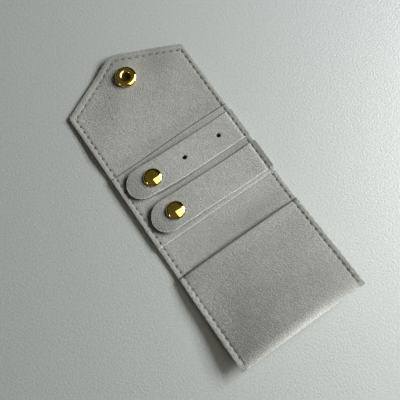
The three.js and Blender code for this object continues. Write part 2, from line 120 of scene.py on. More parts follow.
strip_length = round(2 * CREASE + TIP + POCKET_REACH, 1)
print("open strip", 2 * HALF_WIDTH, "mm wide and", strip_length, "mm long")

# %% [markdown]
# ## Laying the cloth
# A maker cuts each ply flat and sews it flat, and it only bends when it is laid down. The same
# order is kept here. A piece is drawn on its pattern: x across, s along the strip, h above the
# outside face. Three functions then lay a pattern point where it belongs, with a soft bend at
# the creases, where the flap climbs onto its snap cap and the pocket onto its stud. A cloth
# simulation could drape it too, but it would not come out the same each time.

# %% Laying functions
def step(low, high, value):
    """0 up to low, 1 from high, and a smooth rise between."""
    t = np.clip((value - low) / (high - low), 0, 1)
    return t * t * (3 - 2 * t)


def climb(distance, tilt, soft):
    """Run, height and angle of a strip that leaves the table at distance 0."""
    inside = np.clip((distance + soft) / (2 * soft), 0, 1)
    bent = tilt * (distance + soft) ** 2 / (4 * soft)
    height = np.select([distance > soft, distance < -soft], [math.sin(tilt) * distance, 0], bent)
    run = np.where(distance > soft, math.cos(tilt) * distance, distance)
    return run, height, tilt * inside


def spread(x):
    """The left margins have been flattened outward a little."""
    return x - 0.35 * step(35, HALF_WIDTH, -x)


def lay_flap(x, s, h):
    run, height, angle = climb(s - CREASE, FLAP_TILT, soft=5.0)
    return spread(x), CREASE + run - h * np.sin(angle), height + h * np.cos(angle)


def lay_pocket(x, s, h):
    run, height, angle = climb(-CREASE - s, POCKET_TILT, soft=6.0)
    return spread(x), -CREASE - run + h * np.sin(angle), height + h * np.cos(angle)


def lay_strap(kind):
    """The laying function of one strap: its pattern runs from the seam at 0 to its round end."""
    strap = STRAPS[kind]
    cos_skew, sin_skew = math.cos(strap["skew"]), math.sin(strap["skew"])
    cos_tilt, sin_tilt = math.cos(STRAP_TILT), math.sin(STRAP_TILT)

    def lay(across, along, h):
        x = -along * cos_skew + across * sin_skew
        y = along * sin_skew + across * cos_skew
        z = TAIL_AT - STRAP_AXIS_Z + h
        free = x < 0
        far = np.where(free, SEAM_X + x * cos_tilt + z * sin_tilt, SEAM_X + x)
        high = np.where(free, STRAP_AXIS_Z - x * sin_tilt + z * cos_tilt, TAIL_AT + h)
        return far, strap["y"] + y, high

    return lay


snap_place = lay_flap(SNAP_X, CREASE + SNAP_REACH, 0.0)
print("snap cap of the flap stands at", [round(float(value), 2) for value in snap_place])

# %% [markdown]
# ## Small tools
# A new object is selected all over, and operators act on all that is selected, so each tool
# below clears the selection first. Points are read and written as one array, because moving
# thousands of them one by one would be slow.

# %% Mesh tools
def clear():
    if bpy.context.object and bpy.context.object.mode != "OBJECT":
        bpy.ops.object.mode_set(mode="OBJECT")
    bpy.ops.object.select_all(action="DESELECT")


def pick(piece):
    clear()
    piece.select_set(True)
    bpy.context.view_layer.objects.active = piece


def named(name):
    piece = bpy.context.object
    piece.name = piece.data.name = name
    return piece


def read(piece):
    points = np.empty(len(piece.data.vertices) * 3)
    piece.data.vertices.foreach_get("co", points)
    return points.reshape(-1, 3)


def write(piece, points):
    piece.data.vertices.foreach_set("co", np.asarray(points, float).ravel())
    piece.data.update()


print("pieces are shrunk to", MM, "of their drawing")


# %% Marking, modifying and keeping a piece
def mark(piece, kind, values):
    """Keep one number a point, such as its wear, for the materials to read."""
    attribute = piece.data.attributes.new(kind, "FLOAT", "POINT")
    attribute.data.foreach_set("value", np.asarray(values, np.float32))


def modify(piece, kind, **settings):
    """Add a modifier and apply it at once."""
    pick(piece)
    modifier = piece.modifiers.new(kind.lower(), kind)
    for key, value in settings.items():
        setattr(modifier, key, value)
    bpy.ops.object.modifier_apply(modifier=modifier.name)


def keep(piece, material, body, *nodes, slot=None, angle=40):
    """Shrink and finish a piece. It rides on one body, or, given two, stays where it is laid, and may replace
    solids.
    """
    pick(piece)
    write(piece, read(piece) * MM)
    piece.data.materials.clear()
    piece.data.materials.append(material)
    bpy.ops.object.shade_smooth_by_angle(angle=math.radians(angle))
    if isinstance(body, str):
        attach(piece, body)
    else:
        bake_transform(piece)
    if nodes:
        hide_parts(*nodes)
    print(piece.name, len(piece.data.polygons), "faces")


# %% Material tools
def linear(hex_colour):
    parts = [int(hex_colour[i:i + 2], 16) / 255 for i in (1, 3, 5)]
    return [c / 12.92 if c <= 0.04045 else ((c + 0.055) / 1.055) ** 2.4 for c in parts] + [1.0]


def add(tree, kind, settings=None, links=None):
    """A node with its settings and links. A node given as a source links by its first open output."""
    node = tree.nodes.new("ShaderNode" + kind)
    for key, value in (settings or {}).items():
        if isinstance(key, str) and hasattr(node, key):
            setattr(node, key, value)
        else:
            node.inputs[key].default_value = value
    for key, source in (links or {}).items():
        if isinstance(source, bpy.types.Node):
            source = next(socket for socket in source.outputs if socket.enabled)
        tree.links.new(source, node.inputs[key])
    return node


def new_material(name):
    material = bpy.data.materials.new(name)
    material.use_nodes = True
    tree = material.node_tree
    tree.nodes.clear()
    return material, tree, add(tree, "TexCoord").outputs["Object"]


def grains(size_mm):
    """Scale of a noise whose lumps are that many millimetres across."""
    return 1 / (size_mm * MM)


print("a colour of #808080 is", [round(c, 3) for c in linear("#808080")[:3]])

# %% [markdown]
# ## Microfibre suede
# The real cloth is polyester microfibre, needled and then brushed. The eye sees a matt, pale
# grey surface with a fine grain, soft patches where the nap lies another way, and a little
# sheen at its edges. A picture of suede could be wrapped round each piece, but noises at real
# sizes in millimetres have no joints. The fibres are thinner than a hair, so the grain is drawn
# at half a millimetre and more, as coarse as it needs to show.
#
# Four attributes change the colour. One is wear, where a seam or a cut edge presses the nap.
# The other three paint light: a paler colour where a bend or an edge faces the light, which is a
# painted highlight; soft darker patches on slopes that face away from the light and in low
# places, which are painted shade; and a near black in creases, gaps and holes, painted shadow.

# %% Suede
def suede(name, dark, mid, light, worn, lump):
    material, tree, where = new_material(name)
    brushed = add(tree, "Mapping", {"Scale": (1.0, 0.45, 1.0), "Rotation": (0, 0, 0.5)}, {"Vector": where})
    fine = {"Detail": 3.0, "Roughness": 0.6}
    nap = add(tree, "TexNoise", {"Scale": grains(16), "Detail": 2.0, "Roughness": 0.5}, {"Vector": where})
    soft_patches = add(tree, "TexNoise", {"Scale": grains(2.2), **fine}, {"Vector": brushed})
    grain = add(tree, "TexNoise", {"Scale": grains(0.85), **fine}, {"Vector": where})
    fibre = add(tree, "TexVoronoi", {"Scale": grains(0.55), "Randomness": 1.0}, {"Vector": brushed})

    tone = add(tree, "Math", {"operation": "MULTIPLY", 1: 0.16}, {0: nap})
    tone = add(tree, "Math", {"operation": "MULTIPLY_ADD", 1: 0.18}, {0: soft_patches, 2: tone})
    tone = add(tree, "Math", {"operation": "MULTIPLY_ADD", 1: 0.66}, {0: grain, 2: tone})
    colour = add(tree, "ValToRGB", None, {"Fac": tone})
    stops = colour.color_ramp.elements
    stops[0].position, stops[0].color = 0.36, linear(dark)
    stops[1].position, stops[1].color = 0.64, linear(light)
    stops.new(0.5).color = linear(mid)

    # Wear darkens pressed nap. The pale mix is a painted highlight, the multiply is painted shade, and the
    # near black is painted shadow.
    for kind, gain, shade in (("wear", 1.5, worn), ("painted_highlight", 1.9, "#e4e5e0")):
        share = add(tree, "Attribute", {"attribute_name": kind}).outputs["Fac"]
        share = add(tree, "Math", {"operation": "MULTIPLY"}, {0: share, 1: grain})
        share = add(tree, "Math", {"operation": "MULTIPLY", 1: gain, "use_clamp": True}, {0: share})
        colour = add(tree, "Mix", {"data_type": "RGBA", 7: linear(shade)}, {0: share, 6: colour})
    for kind, way, shade in (("painted_shade", "MULTIPLY", "#d2d2d0"), ("painted_shadow_and_tarnish", "MIX", "#2b2a28")):
        share = add(tree, "Attribute", {"attribute_name": kind}).outputs["Fac"]
        settings = {"data_type": "RGBA", "blend_type": way, 7: linear(shade)}
        colour = add(tree, "Mix", settings, {0: share, 6: colour})

    rough = add(tree, "MapRange", {3: 0.86, 4: 1.0}, {0: soft_patches})
    lumps = add(tree, "Bump", {"Strength": 1.0, "Distance": lump * MM}, {"Height": grain})
    fibres = add(tree, "Bump", {"Strength": 0.5, "Distance": 0.12 * MM}, {"Height": fibre, "Normal": lumps})
    shader = add(
        tree, "BsdfPrincipled",
        {"Specular IOR Level": 0.2, "Sheen Weight": 0.9, "Sheen Roughness": 0.35,
         "Sheen Tint": linear("#f2f1ec")},
        {"Base Color": colour, "Roughness": rough, "Normal": fibres})
    add(tree, "OutputMaterial", None, {"Surface": shader})
    return material


suede_outside = suede(
    "brushed_microfibre_suede_outside", "#858681", "#959690", "#a3a49e", worn="#7a7b76", lump=0.5)
suede_inside = suede(
    "brushed_microfibre_suede_inside", "#8b8c87", "#9b9c97", "#aaaba5", worn="#7f807b", lump=0.38)
suede_strap = suede(
    "brushed_microfibre_suede_strap", "#898a86", "#999a96", "#a9aaa5", worn="#7f807c", lump=0.46)
print("suedes", suede_outside.name, suede_inside.name, suede_strap.name)

# %% [markdown]
# ## Thread
# The thread is spun polyester. It lies deep in its holes, where little light comes, so it is
# painted a dark grey, darker than the cloth: painted shade. Its twist is too fine to show at this
# distance, so one wave of half a millimetre stands for several turns.

# %% Thread
def make_thread():
    material, tree, where = new_material("spun_polyester_thread")
    twist = add(
        tree, "TexWave", {"Scale": grains(0.6), "Distortion": 1.5, "bands_direction": "DIAGONAL"},
        {"Vector": where})
    fluff = add(tree, "TexNoise", {"Scale": grains(0.5), "Detail": 3.0}, {"Vector": where})
    # The dark greys of the thread are painted shade.
    tone = add(tree, "Mix", {"data_type": "RGBA", 6: linear("#343330"), 7: linear("#4a4945")}, {0: fluff})
    bump = add(tree, "Bump", {"Strength": 0.5, "Distance": 0.05 * MM}, {"Height": twist})
    rough = add(tree, "MapRange", {3: 0.7, 4: 0.9}, {0: fluff})
    shader = add(
        tree, "BsdfPrincipled", {"Sheen Weight": 0.1},
        {"Base Color": tone, "Roughness": rough, "Normal": bump})
    add(tree, "OutputMaterial", None, {"Surface": shader})
    return material


thread = make_thread()
print(thread.name)

# %% [markdown]
# ## Brass
# The snaps are pressed brass, polished and lacquered: mirror-like, yellow, with hair scratches
# and a thin clear coat that adds a white glint. Polish doesn't reach into the bores, and little
# light does, so an attribute turns the metal there a dark brown, dull and without lacquer:
# tarnish and painted shade together.

# %% Brass
def brass(name, deep, bright, rough_low, rough_high, coat):
    material, tree, where = new_material(name)
    # The bores turn dark brown, dull and bare of lacquer: tarnish and painted shade.
    bore_shade_and_tarnish = add(tree, "Attribute", {"attribute_name": "painted_shadow_and_tarnish"}).outputs["Fac"]
    cloud = add(tree, "TexNoise", {"Scale": grains(3.5), "Detail": 3.0}, {"Vector": where})
    hairs = add(tree, "TexNoise", {"Scale": grains(0.35), "Detail": 4.0, "Roughness": 0.7}, {"Vector": where})
    tone = add(tree, "Mix", {"data_type": "RGBA", 6: linear(deep), 7: linear(bright)}, {0: cloud})
    tone = add(tree, "Mix", {"data_type": "RGBA", 7: linear("#2e1c10")}, {0: bore_shade_and_tarnish, 6: tone})
    rough = add(tree, "MapRange", {3: rough_low, 4: rough_high}, {0: hairs})
    rough = add(tree, "Math", {"operation": "MULTIPLY_ADD", 1: 0.6}, {0: bore_shade_and_tarnish, 2: rough})
    bump = add(tree, "Bump", {"Strength": 0.12, "Distance": 0.02 * MM}, {"Height": cloud})
    lacquer = add(tree, "MapRange", {3: coat, 4: 0.0}, {0: bore_shade_and_tarnish})
    shader = add(
        tree, "BsdfPrincipled", {"Metallic": 1.0, "Coat Roughness": 0.04, "Coat IOR": 1.8},
        {"Base Color": tone, "Roughness": rough, "Normal": bump, "Coat Weight": lacquer})
    add(tree, "OutputMaterial", None, {"Surface": shader})
    return material


brass_polished = brass(
    "pressed_brass_polished_lacquered", "#c8b03c", "#dcc957", rough_low=0.04, rough_high=0.11, coat=1.0)
brass_inner = brass("drawn_brass_satin", "#9c7a2c", "#b5913a", rough_low=0.28, rough_high=0.42, coat=0.0)
print(brass_polished.name, brass_inner.name)

# %% [markdown]
# ## Sewing relief
# A seam presses the plies together. The cloth sinks to a groove along the stitches, deeper
# under each stitch than between two, and the raw margin outside the seam flares up. It could
# be a bump in the material, but the margins show from the side, so it is real relief. One
# function gives the distance inside the seam, along the long sides and the two slanted ones,
# and everything else follows from that distance.

# %% Relief of the seams
CORNER_GAP = 0.35
GROOVE_WIDTH = 0.54
SLANT = math.hypot(HALF_WIDTH, TIP - SHOULDER)
SEAM_CORNER = np.array(
    [SEAM_X, SHOULDER - (SLANT_SEAM_IN * SLANT - SEAM_IN * (TIP - SHOULDER)) / HALF_WIDTH])
SEAM_TIP = np.array([0.0, TIP - SLANT_SEAM_IN * SLANT / HALF_WIDTH])
SLANT_RUN = float(np.hypot(*(SEAM_TIP - SEAM_CORNER)))
SLANT_STITCHES = round(SLANT_RUN / STITCH_PITCH)
SLANT_PITCH = SLANT_RUN / SLANT_STITCHES
FIRST_STITCH = CREASE + SEAM_CORNER[1] - CORNER_GAP - STITCH_LENGTH / 2


def side_in(x):
    return HALF_WIDTH - np.abs(x) - SEAM_IN


def slant_in(x, s):
    rest = (HALF_WIDTH - np.abs(x)) * (TIP - SHOULDER) + (SHOULDER + CREASE - s) * HALF_WIDTH
    return rest / SLANT - SLANT_SEAM_IN


def under_stitch(x, s):
    """1 in the middle of a stitch, 0 in the gap between two."""
    along_side = (s - FIRST_STITCH) / STITCH_PITCH
    corner_x = (SEAM_X - np.abs(x)) * SEAM_X / SLANT_RUN
    corner_y = (s - CREASE - SEAM_CORNER[1]) * (SEAM_TIP[1] - SEAM_CORNER[1]) / SLANT_RUN
    along_slant = (corner_x + corner_y) / SLANT_PITCH - 0.5
    phase = np.where(slant_in(x, s) < side_in(x), along_slant, along_side)
    return 0.5 + 0.5 * np.cos(2 * math.pi * phase)


def seam_relief(x, s, groove, flare):
    """Height of the cloth beside and outside the seam, which sinks by groove and rises by flare."""
    inside = np.minimum(side_in(x), slant_in(x, s))
    pressed = np.exp(-(inside / GROOVE_WIDTH) ** 2) * (0.04 + 0.96 * under_stitch(x, s) ** 1.5)
    beside = np.exp(-((inside - 2.0) / 1.5) ** 2)
    margin = np.where(slant_in(x, s) < side_in(x), SLANT_SEAM_IN, SEAM_IN)
    out = np.clip(-inside / margin, 0, 1)
    scallop = 0.6 + 0.4 * (1 - under_stitch(x, s)) * np.exp(-(inside / 1.6) ** 2)
    crown = 1 - (1 - np.clip(out / 0.6, 0, 1)) ** 2 - 0.8 * np.clip((out - 0.7) / 0.3, 0, 1) ** 2
    return -groove * pressed + 0.2 * flare * beside + flare * crown * (0.5 + 0.5 * scallop)


def seam_wear(x, s):
    """The nap is pressed under the stitches and at the raw edge."""
    inside = np.minimum(side_in(x), slant_in(x, s))
    sewn = 0.95 * np.exp(-(inside / 0.7) ** 2) * (0.3 + 0.7 * under_stitch(x, s))
    return np.clip(sewn + 0.5 * np.exp(-((inside + SEAM_IN) / 0.45) ** 2), 0, 1)


print("slanted seam", round(SLANT_RUN, 1), "mm,", SLANT_STITCHES, "stitches")

# %% [markdown]
# ## Cutting a ply
# A ply starts as a flat grid. Its columns are drawn together towards the seams, where the
# relief is, and its last rows follow the pointed end. Solidify gives it its thickness, a
# Boolean punches the holes, and a Bevel softens the cut edge.

# %% Ply tools
SEAM_ZONE = 33.6


def spaced(*stops):
    """Positions from stop to stop: (from, to, step), joined without doubles."""
    runs = [np.linspace(a, b, max(2, round(abs(b - a) / gap) + 1)) for a, b, gap in stops]
    return np.unique(np.round(np.concatenate(runs), 4))


def cut_grid(name, across, along):
    clear()
    columns, rows = len(across) - 1, len(along) - 1
    bpy.ops.mesh.primitive_grid_add(x_subdivisions=columns, y_subdivisions=rows, size=1)
    ply = named(name)
    points = read(ply)
    column = np.rint((points[:, 0] + 0.5) * columns).astype(int)
    row = np.rint((points[:, 1] + 0.5) * rows).astype(int)
    write(ply, np.stack([across[column], along[row], np.zeros(len(points))], 1))
    return ply


def thicken(ply, thickness, holes=(), edge=0.16, segments=2):
    """Give a flat ply its thickness, punch its (x, s, radius) holes and soften its edges."""
    modify(ply, "SOLIDIFY", thickness=thickness, offset=1, use_even_offset=False)
    for x, s, radius in holes:
        clear()
        bpy.ops.mesh.primitive_cylinder_add(vertices=32, radius=radius, depth=6, location=(x, s, 0))
        punch = bpy.context.object
        modify(ply, "BOOLEAN", operation="DIFFERENCE", solver="EXACT", object=punch)
        pick(punch)
        bpy.ops.object.delete()
    sharp = math.radians(60)
    modify(ply, "BEVEL", width=edge, segments=segments, limit_method="ANGLE", angle_limit=sharp)


ACROSS = spaced((-HALF_WIDTH, -SEAM_ZONE, 0.3), (-SEAM_ZONE, SEAM_ZONE, 0.84), (SEAM_ZONE, HALF_WIDTH, 0.3))
print(len(ACROSS), "columns across the strip")

# %% The pointed end
TIP_RADIUS, SHOULDER_RADIUS = 10.5, 4.0
POINT_FROM, GRID_END = CREASE + 30, CREASE + 60


def flap_end(x):
    """How far from the crease the pointed end reaches at x, with its corners rounded."""
    x = np.abs(x)
    slope = (TIP - SHOULDER) / HALF_WIDTH
    angle = math.atan(slope)
    tip_run = TIP_RADIUS / math.tan(math.radians(90) - angle)
    tip_wide = tip_run * math.cos(angle)
    t = np.clip((x / tip_wide + 1) / 2, 0, 1)
    low = TIP - tip_run * math.sin(angle)
    tip = ((1 - t) ** 2 + t ** 2) * low + 2 * t * (1 - t) * TIP
    run = SHOULDER_RADIUS / math.tan((math.pi / 2 + angle) / 2)
    inward = run * math.cos(angle)
    u = np.sqrt(np.clip((HALF_WIDTH - x) / inward, 0, 1))
    start, end = SHOULDER - run, SHOULDER + run * math.sin(angle)
    shoulder = (1 - u) ** 2 * start + 2 * u * (1 - u) * SHOULDER + u ** 2 * end
    return np.select([x < tip_wide, x > HALF_WIDTH - inward], [tip, shoulder], TIP - slope * x)


def point_the_end(ply):
    points = read(ply)
    x, s, _ = points.T
    share = np.clip((s - POINT_FROM) / (GRID_END - POINT_FROM), 0, 1)
    pointed = POINT_FROM + share * (CREASE + flap_end(x) - POINT_FROM)
    points[:, 1] = np.where(s > POINT_FROM, pointed, s)
    write(ply, points)


print("point reaches", round(float(flap_end(0.0)), 1), "mm from the crease")

# %% [markdown]
# ## Shaping a ply
# A ply has a few soft ovals painted darker: painted shade on slopes that face away from the light
# and in low places between higher parts. Each is given as x, s, half width, half length and how
# much. The flap isn't flat either. It has slow waves, its free edges sink towards the table, and
# only round its snap is it held flat.

# %% Painted shade, waves and shaping
SHADE_OVALS = {
    "lining_flap_side": (
        (6, 91, 9, 7, 0.4), (24, 78, 14, 12, 0.75), (4, 66, 22, 12, 0.15), (4, 38, 44, 4, 0.35),
        (28, 46, 15, 14, 0.35)),
    "strap_panel_cloth": ((30, 8.5, 15, 5, 0.6), (-6, 8.5, 22, 5, 0.3), (4, 31.5, 44, 2.6, 0.45)),
    "lining_pocket_side": ((16, -28, 28, 6, 0.5),),
}


def soft_patches(x, s, *places):
    total = np.zeros_like(x)
    for centre_x, centre_s, across, along, amount in places:
        total += amount * np.exp(-((x - centre_x) / across) ** 2 - ((s - centre_s) / along) ** 2)
    return np.clip(total, 0, 1)


def drape(x, s):
    """Slow waves of the flap where nothing holds it, in millimetres."""
    reach = s - CREASE
    held = np.exp(-((x - SNAP_X) ** 2 + (reach - SNAP_REACH) ** 2) / 130)
    free = step(4, 22, reach) * (1 - held)
    wave = 0.2 * np.sin(x / 10.5 + 0.6) * np.cos(reach / 12.0) + 0.16 * np.sin(x / 17 + reach / 9.0 + 1.7)
    right, left, point = step(20, 39, x) * step(15, 40, reach), step(12, 39, -x), step(48, 64, reach)
    droop = -0.5 * right - 1.6 * left * step(12, 40, reach) - 1.2 * point
    rest = free * (wave + droop)
    edge = step(30, 2, slant_in(x, s) + SLANT_SEAM_IN) * step(-6, 18, -x) * step(5, 12, reach)
    return rest - edge * (math.sin(FLAP_TILT) * reach + rest - 0.1)


def shape_ply(ply, base, thickness, lay, relief, soft=None):
    """Mark a ply's wear and its painted shade, give it its relief and waves, and lay it with its outside at
    base.
    """
    x, s, h = read(ply).T
    level = np.clip(h / thickness, 0, 1)
    mark(ply, "wear", seam_wear(x, s))
    # Soft ovals of painted shade.
    mark(ply, "painted_shade", soft_patches(x, s, *SHADE_OVALS.get(ply.name, ())))
    lifted = base + h + relief(x, s, level)
    if soft is not None:
        lifted = lifted + soft(x, s)
    write(ply, np.stack(lay(x, s, lifted), 1))


edge_drop = float(drape(np.array([-HALF_WIDTH]), np.array([CREASE + 40.0]))[0])
print("left edge of the flap sinks by", round(-edge_drop, 2), "mm")

# %% [markdown]
# ## Flap side
# The outside cover and the lining each run from under the middle panel, over the crease, to
# the point of the flap. Two pieces that meet at the crease would be simpler, and would gape
# when the flap folds. The real cloth bends there, so each is one piece that follows the middle
# panel at one end and the flap at the other. The flap's snap goes through both.

# %% Cover, flap side
FLAP_BEND = ("middle", "flap", (0, (CREASE - 1) * MM, 0), (0, (CREASE + 9) * MM, 0))
SNAP_HOLE = (SNAP_X, CREASE + SNAP_REACH, SNAP_PUNCH)


def flap_rows(start):
    """Rows along the flap side, close together where the strap panel's edge presses in."""
    return spaced(
        (start, CREASE - 1.5, 0.65), (CREASE - 1.5, CREASE + 2.3, 0.19), (CREASE + 2.3, CREASE + 9.5, 0.45),
        (CREASE + 9.5, POINT_FROM, 0.65), (POINT_FROM, GRID_END, 0.5))


def press_outside(x, s, level):
    """The outside face: the margin flares only where the strip is off the table."""
    return -seam_relief(x, s, 0.34, 0.10 * step(CREASE, CREASE + 6, np.abs(s))) * (1 - level)


cover_flap = cut_grid("cover_flap_side", ACROSS, flap_rows(0.0))
point_the_end(cover_flap)
thicken(cover_flap, SHELL, [SNAP_HOLE])
shape_ply(cover_flap, 0.0, SHELL, lay_flap, press_outside, drape)
keep(cover_flap, suede_outside, FLAP_BEND, "flap_shell", "middle_shell", slot="suede_outside")

# %% Lining, flap side
LAP = 10


def upper_edge_bow(x):
    """The strap panel's upper edge lies in the crease, and bows a little towards the flap."""
    return 0.15 + 0.55 * step(-18, 12, x) - 0.3 * step(24, 36, x)


def crease_line(x, s):
    return np.exp(-((s - PANEL_TO - upper_edge_bow(x) - 0.3) / 0.42) ** 2)


def press_lining(x, s, level):
    """The inside face: the seam, a low ring round the snap, and a line along the crease."""
    bare = step(CREASE - 1.0, CREASE + 0.6, s)
    ring = np.hypot(x - SNAP_X, s - CREASE - SNAP_REACH)
    puff = 0.12 * np.exp(-((ring - 6.2) / 1.2) ** 2)
    return level * (bare * seam_relief(x, s, 0.42, 0.34) + puff - 0.4 * crease_line(x, s))


lining_flap = cut_grid("lining_flap_side", ACROSS, flap_rows(LAP))
point_the_end(lining_flap)
thicken(lining_flap, LINING, [SNAP_HOLE])
x, s, _ = read(lining_flap).T
# A painted shadow line on the lining along the strap panel's upper edge, in the crease.
mark(lining_flap, "painted_shadow_and_tarnish", 0.85 * crease_line(x, s))
shape_ply(lining_flap, LINING_AT, LINING, lay_flap, press_lining, drape)
keep(lining_flap, suede_inside, FLAP_BEND, "flap_lining", "middle_lining", slot="suede_inside")

# %% [markdown]
# ## Pocket side
# On the real object the outside cover runs under the pocket, turns over at the far end in a
# soft unsewn roll, and comes back as the pocket's front. A rounded box would look alike from
# above, but one long strip keeps the true length of the cloth and shows its edges. Its path is
# an egg-shaped turn: a short quarter oval beneath and a longer one on the face.
# The front swells in the middle and is held down at the sides, where the seam makes puckers.

# %% Shape of the pocket's front
UNDER_RUN, FACE_RUN = 5.0, 9.5
UNDER_ARC, FACE_ARC = 6.0, 10.0
TURN_AT = CREASE + POCKET_REACH - UNDER_RUN
FACE_AT = TURN_AT + UNDER_ARC + FACE_ARC
MOUTH_AT = FACE_AT + POCKET_REACH - FACE_RUN - 0.6
COVER_WALL = 0.85
FRONT_TOP, CROWN, GAPE = 2.9, 3.2, 1.3


def margin_puff(x, s):
    """The sewn side margins of the pocket are as round as cord, with a waist at each stitch."""
    outside = np.clip(-side_in(x) / SEAM_IN, 0, 1)
    cord = np.clip(1 - np.abs(2 * outside - 1) ** 3, 0, 1) ** (1 / 3)
    thick = 0.5 - 0.27 * (x > 0)
    return np.where(side_in(x) < 0, thick * cord * (0.55 + 0.45 * (1 - under_stitch(x, s))), 0)


def pocket_face(x, reach):
    """Height of the pocket's front: it swells in the middle, and its mouth stands open a little."""
    across = np.clip(np.abs(x) / SEAM_X, 0, 1)
    along = step(POCKET_REACH * 0.14, POCKET_REACH * 0.82, reach)
    swell = CROWN * (1 - across ** 2.4) * (0.2 + 0.8 * along)
    return FRONT_TOP + swell + GAPE * (1 - across ** 4) * (1 - step(0, 8, reach))


def face_relief(x, reach):
    s = -CREASE - reach
    sewn = 1 - step(POCKET_REACH - 4.5, POCKET_REACH - 1.5, reach)
    groove = np.exp(-(side_in(x) / 0.75) ** 2) * (0.15 + 0.85 * under_stitch(x, s))
    pucker = 0.22 * np.exp(-((side_in(x) - 1.6) / 1.4) ** 2) * (under_stitch(x, s) - 0.5)
    return sewn * (-0.5 * groove - pucker + margin_puff(x, s))


def pocket_droop(x, s):
    """The left side of the pocket hangs a little, all its plies together."""
    return -1.7 * step(4, 39, -x) * step(8, 34, -CREASE - s)


print("pocket's front stands", FRONT_TOP + CROWN, "mm high in the middle of its far end")


# %% Path of the cover round the pocket
def cover_path(x, d, level):
    """Reach and height of the cover's strip at distance d, for its outer and inner face."""
    half = pocket_face(x, np.full_like(x, POCKET_REACH)) / 2
    wall = level * COVER_WALL
    under = -(math.pi / 2) * np.clip(1 - (d - TURN_AT) / UNDER_ARC, 0, 1)
    over = (math.pi / 2) * np.clip((d - TURN_AT - UNDER_ARC) / FACE_ARC, 0, 1)
    back = POCKET_REACH - FACE_RUN - (d - FACE_AT)
    stretches = [d < TURN_AT, d < TURN_AT + UNDER_ARC, d < FACE_AT]
    reach = np.select(stretches, [
        d - CREASE,
        POCKET_REACH - UNDER_RUN + (UNDER_RUN - wall) * np.cos(under),
        POCKET_REACH - FACE_RUN + (FACE_RUN - wall) * np.cos(over)], back)
    height = np.select(stretches, [
        wall + press_outside(x, -d, level),
        half + (half - wall) * np.sin(under),
        half + (half - wall) * np.sin(over)], pocket_face(x, np.clip(back, 0, POCKET_REACH)) - wall)
    relief = np.where(d >= TURN_AT + UNDER_ARC, face_relief(x, reach) * (1 - level), 0)
    return reach, height + pocket_droop(x, -CREASE - reach) + relief


print("cover strip of the pocket", round(MOUTH_AT, 1), "mm long, its turn", UNDER_ARC + FACE_ARC, "mm")

# %% Cover, pocket side
POCKET_BEND = ("middle", "pocket", (0, -31.5 * MM, 0), (0, -34.1 * MM, 0))
cover_pocket = cut_grid("cover_pocket_side", ACROSS, spaced(
    (0, 31.0, 1.0), (31.0, 34.6, 0.15), (34.6, TURN_AT, 1.0), (TURN_AT, FACE_AT, 0.5),
    (FACE_AT, MOUTH_AT, 0.6)))
thicken(cover_pocket, COVER_WALL, [(SNAP_X, CREASE + STUD_REACH, STUD_PUNCH)])
x, d, h = read(cover_pocket).T
inward = MOUTH_AT - d
# Painted shade in two ovals of the front, and a painted shadow line at the mouth's edge.
mark(cover_pocket, "painted_shade", soft_patches(x, inward, (0, 40, 20, 14, 0.25), (30, 47, 16, 11, 0.4)))
mark(cover_pocket, "painted_shadow_and_tarnish", 0.75 * np.exp(-(inward / 0.5) ** 2))
# A painted highlight on the roll, where it turns towards the light, and a faint paler oval on the left of the
# front.
roll = step(TURN_AT + 1, TURN_AT + UNDER_ARC, d) * (1 - step(TURN_AT + UNDER_ARC - 1, FACE_AT - 2, d))
roll_highlight = (1.2 - 0.7 * step(5, 36, x) - 0.4 * step(12, 36, -x)) * roll * step(-0.6, 1.5, side_in(x))
mark(cover_pocket, "painted_highlight", roll_highlight + soft_patches(x, inward, (-33, 27, 8, 16, 0.1)) * (d > FACE_AT))
reach, height = cover_path(x, d, np.clip(h / COVER_WALL, 0, 1))
s = -CREASE - reach
mark(cover_pocket, "wear", np.maximum(seam_wear(x, s), np.exp(-(inward / 0.5) ** 2)))
waist = 0.12 * step(SEAM_X, HALF_WIDTH, np.abs(x)) * (1 - 2 * under_stitch(x, s)) * step(0, 3, reach)
x = x + np.sign(x) * waist
write(cover_pocket, np.stack(lay_pocket(x, s, height), 1))
pick(cover_pocket)
bpy.ops.object.mode_set(mode="EDIT")
bpy.ops.mesh.select_all(action="SELECT")
bpy.ops.mesh.normals_make_consistent(inside=False)
bpy.ops.object.mode_set(mode="OBJECT")
pocket_solids = ("pocket_shell", "pocket_front", "middle_shell")
keep(cover_pocket, suede_outside, POCKET_BEND, *pocket_solids, slot="suede_outside")

# %% Lining, pocket side
LINING_STOP = 3.5


def press_bare_lining(x, s, level):
    """The lining shows, and is pressed, only between the pocket and the strap panel."""
    bare = (1 - step(PANEL_FROM - 1.4, PANEL_FROM - 0.4, s)) * step(-CREASE - 0.4, -CREASE + 1.2, s)
    return level * bare * seam_relief(x, s, 0.42, 0.34)


lining_pocket = cut_grid("lining_pocket_side", ACROSS, spaced(
    (-CREASE - POCKET_REACH + LINING_STOP, -CREASE - 1.1, 1.0), (-CREASE - 1.1, -CREASE + 2.5, 0.15),
    (-CREASE + 2.5, PANEL_FROM - 1.4, 0.65), (PANEL_FROM - 1.4, PANEL_FROM + 0.4, 0.2),
    (PANEL_FROM + 0.4, LAP, 0.65)))
thicken(lining_pocket, LINING, [(SNAP_X, -CREASE - STUD_REACH, RIVET_PUNCH)])
x, s, _ = read(lining_pocket).T
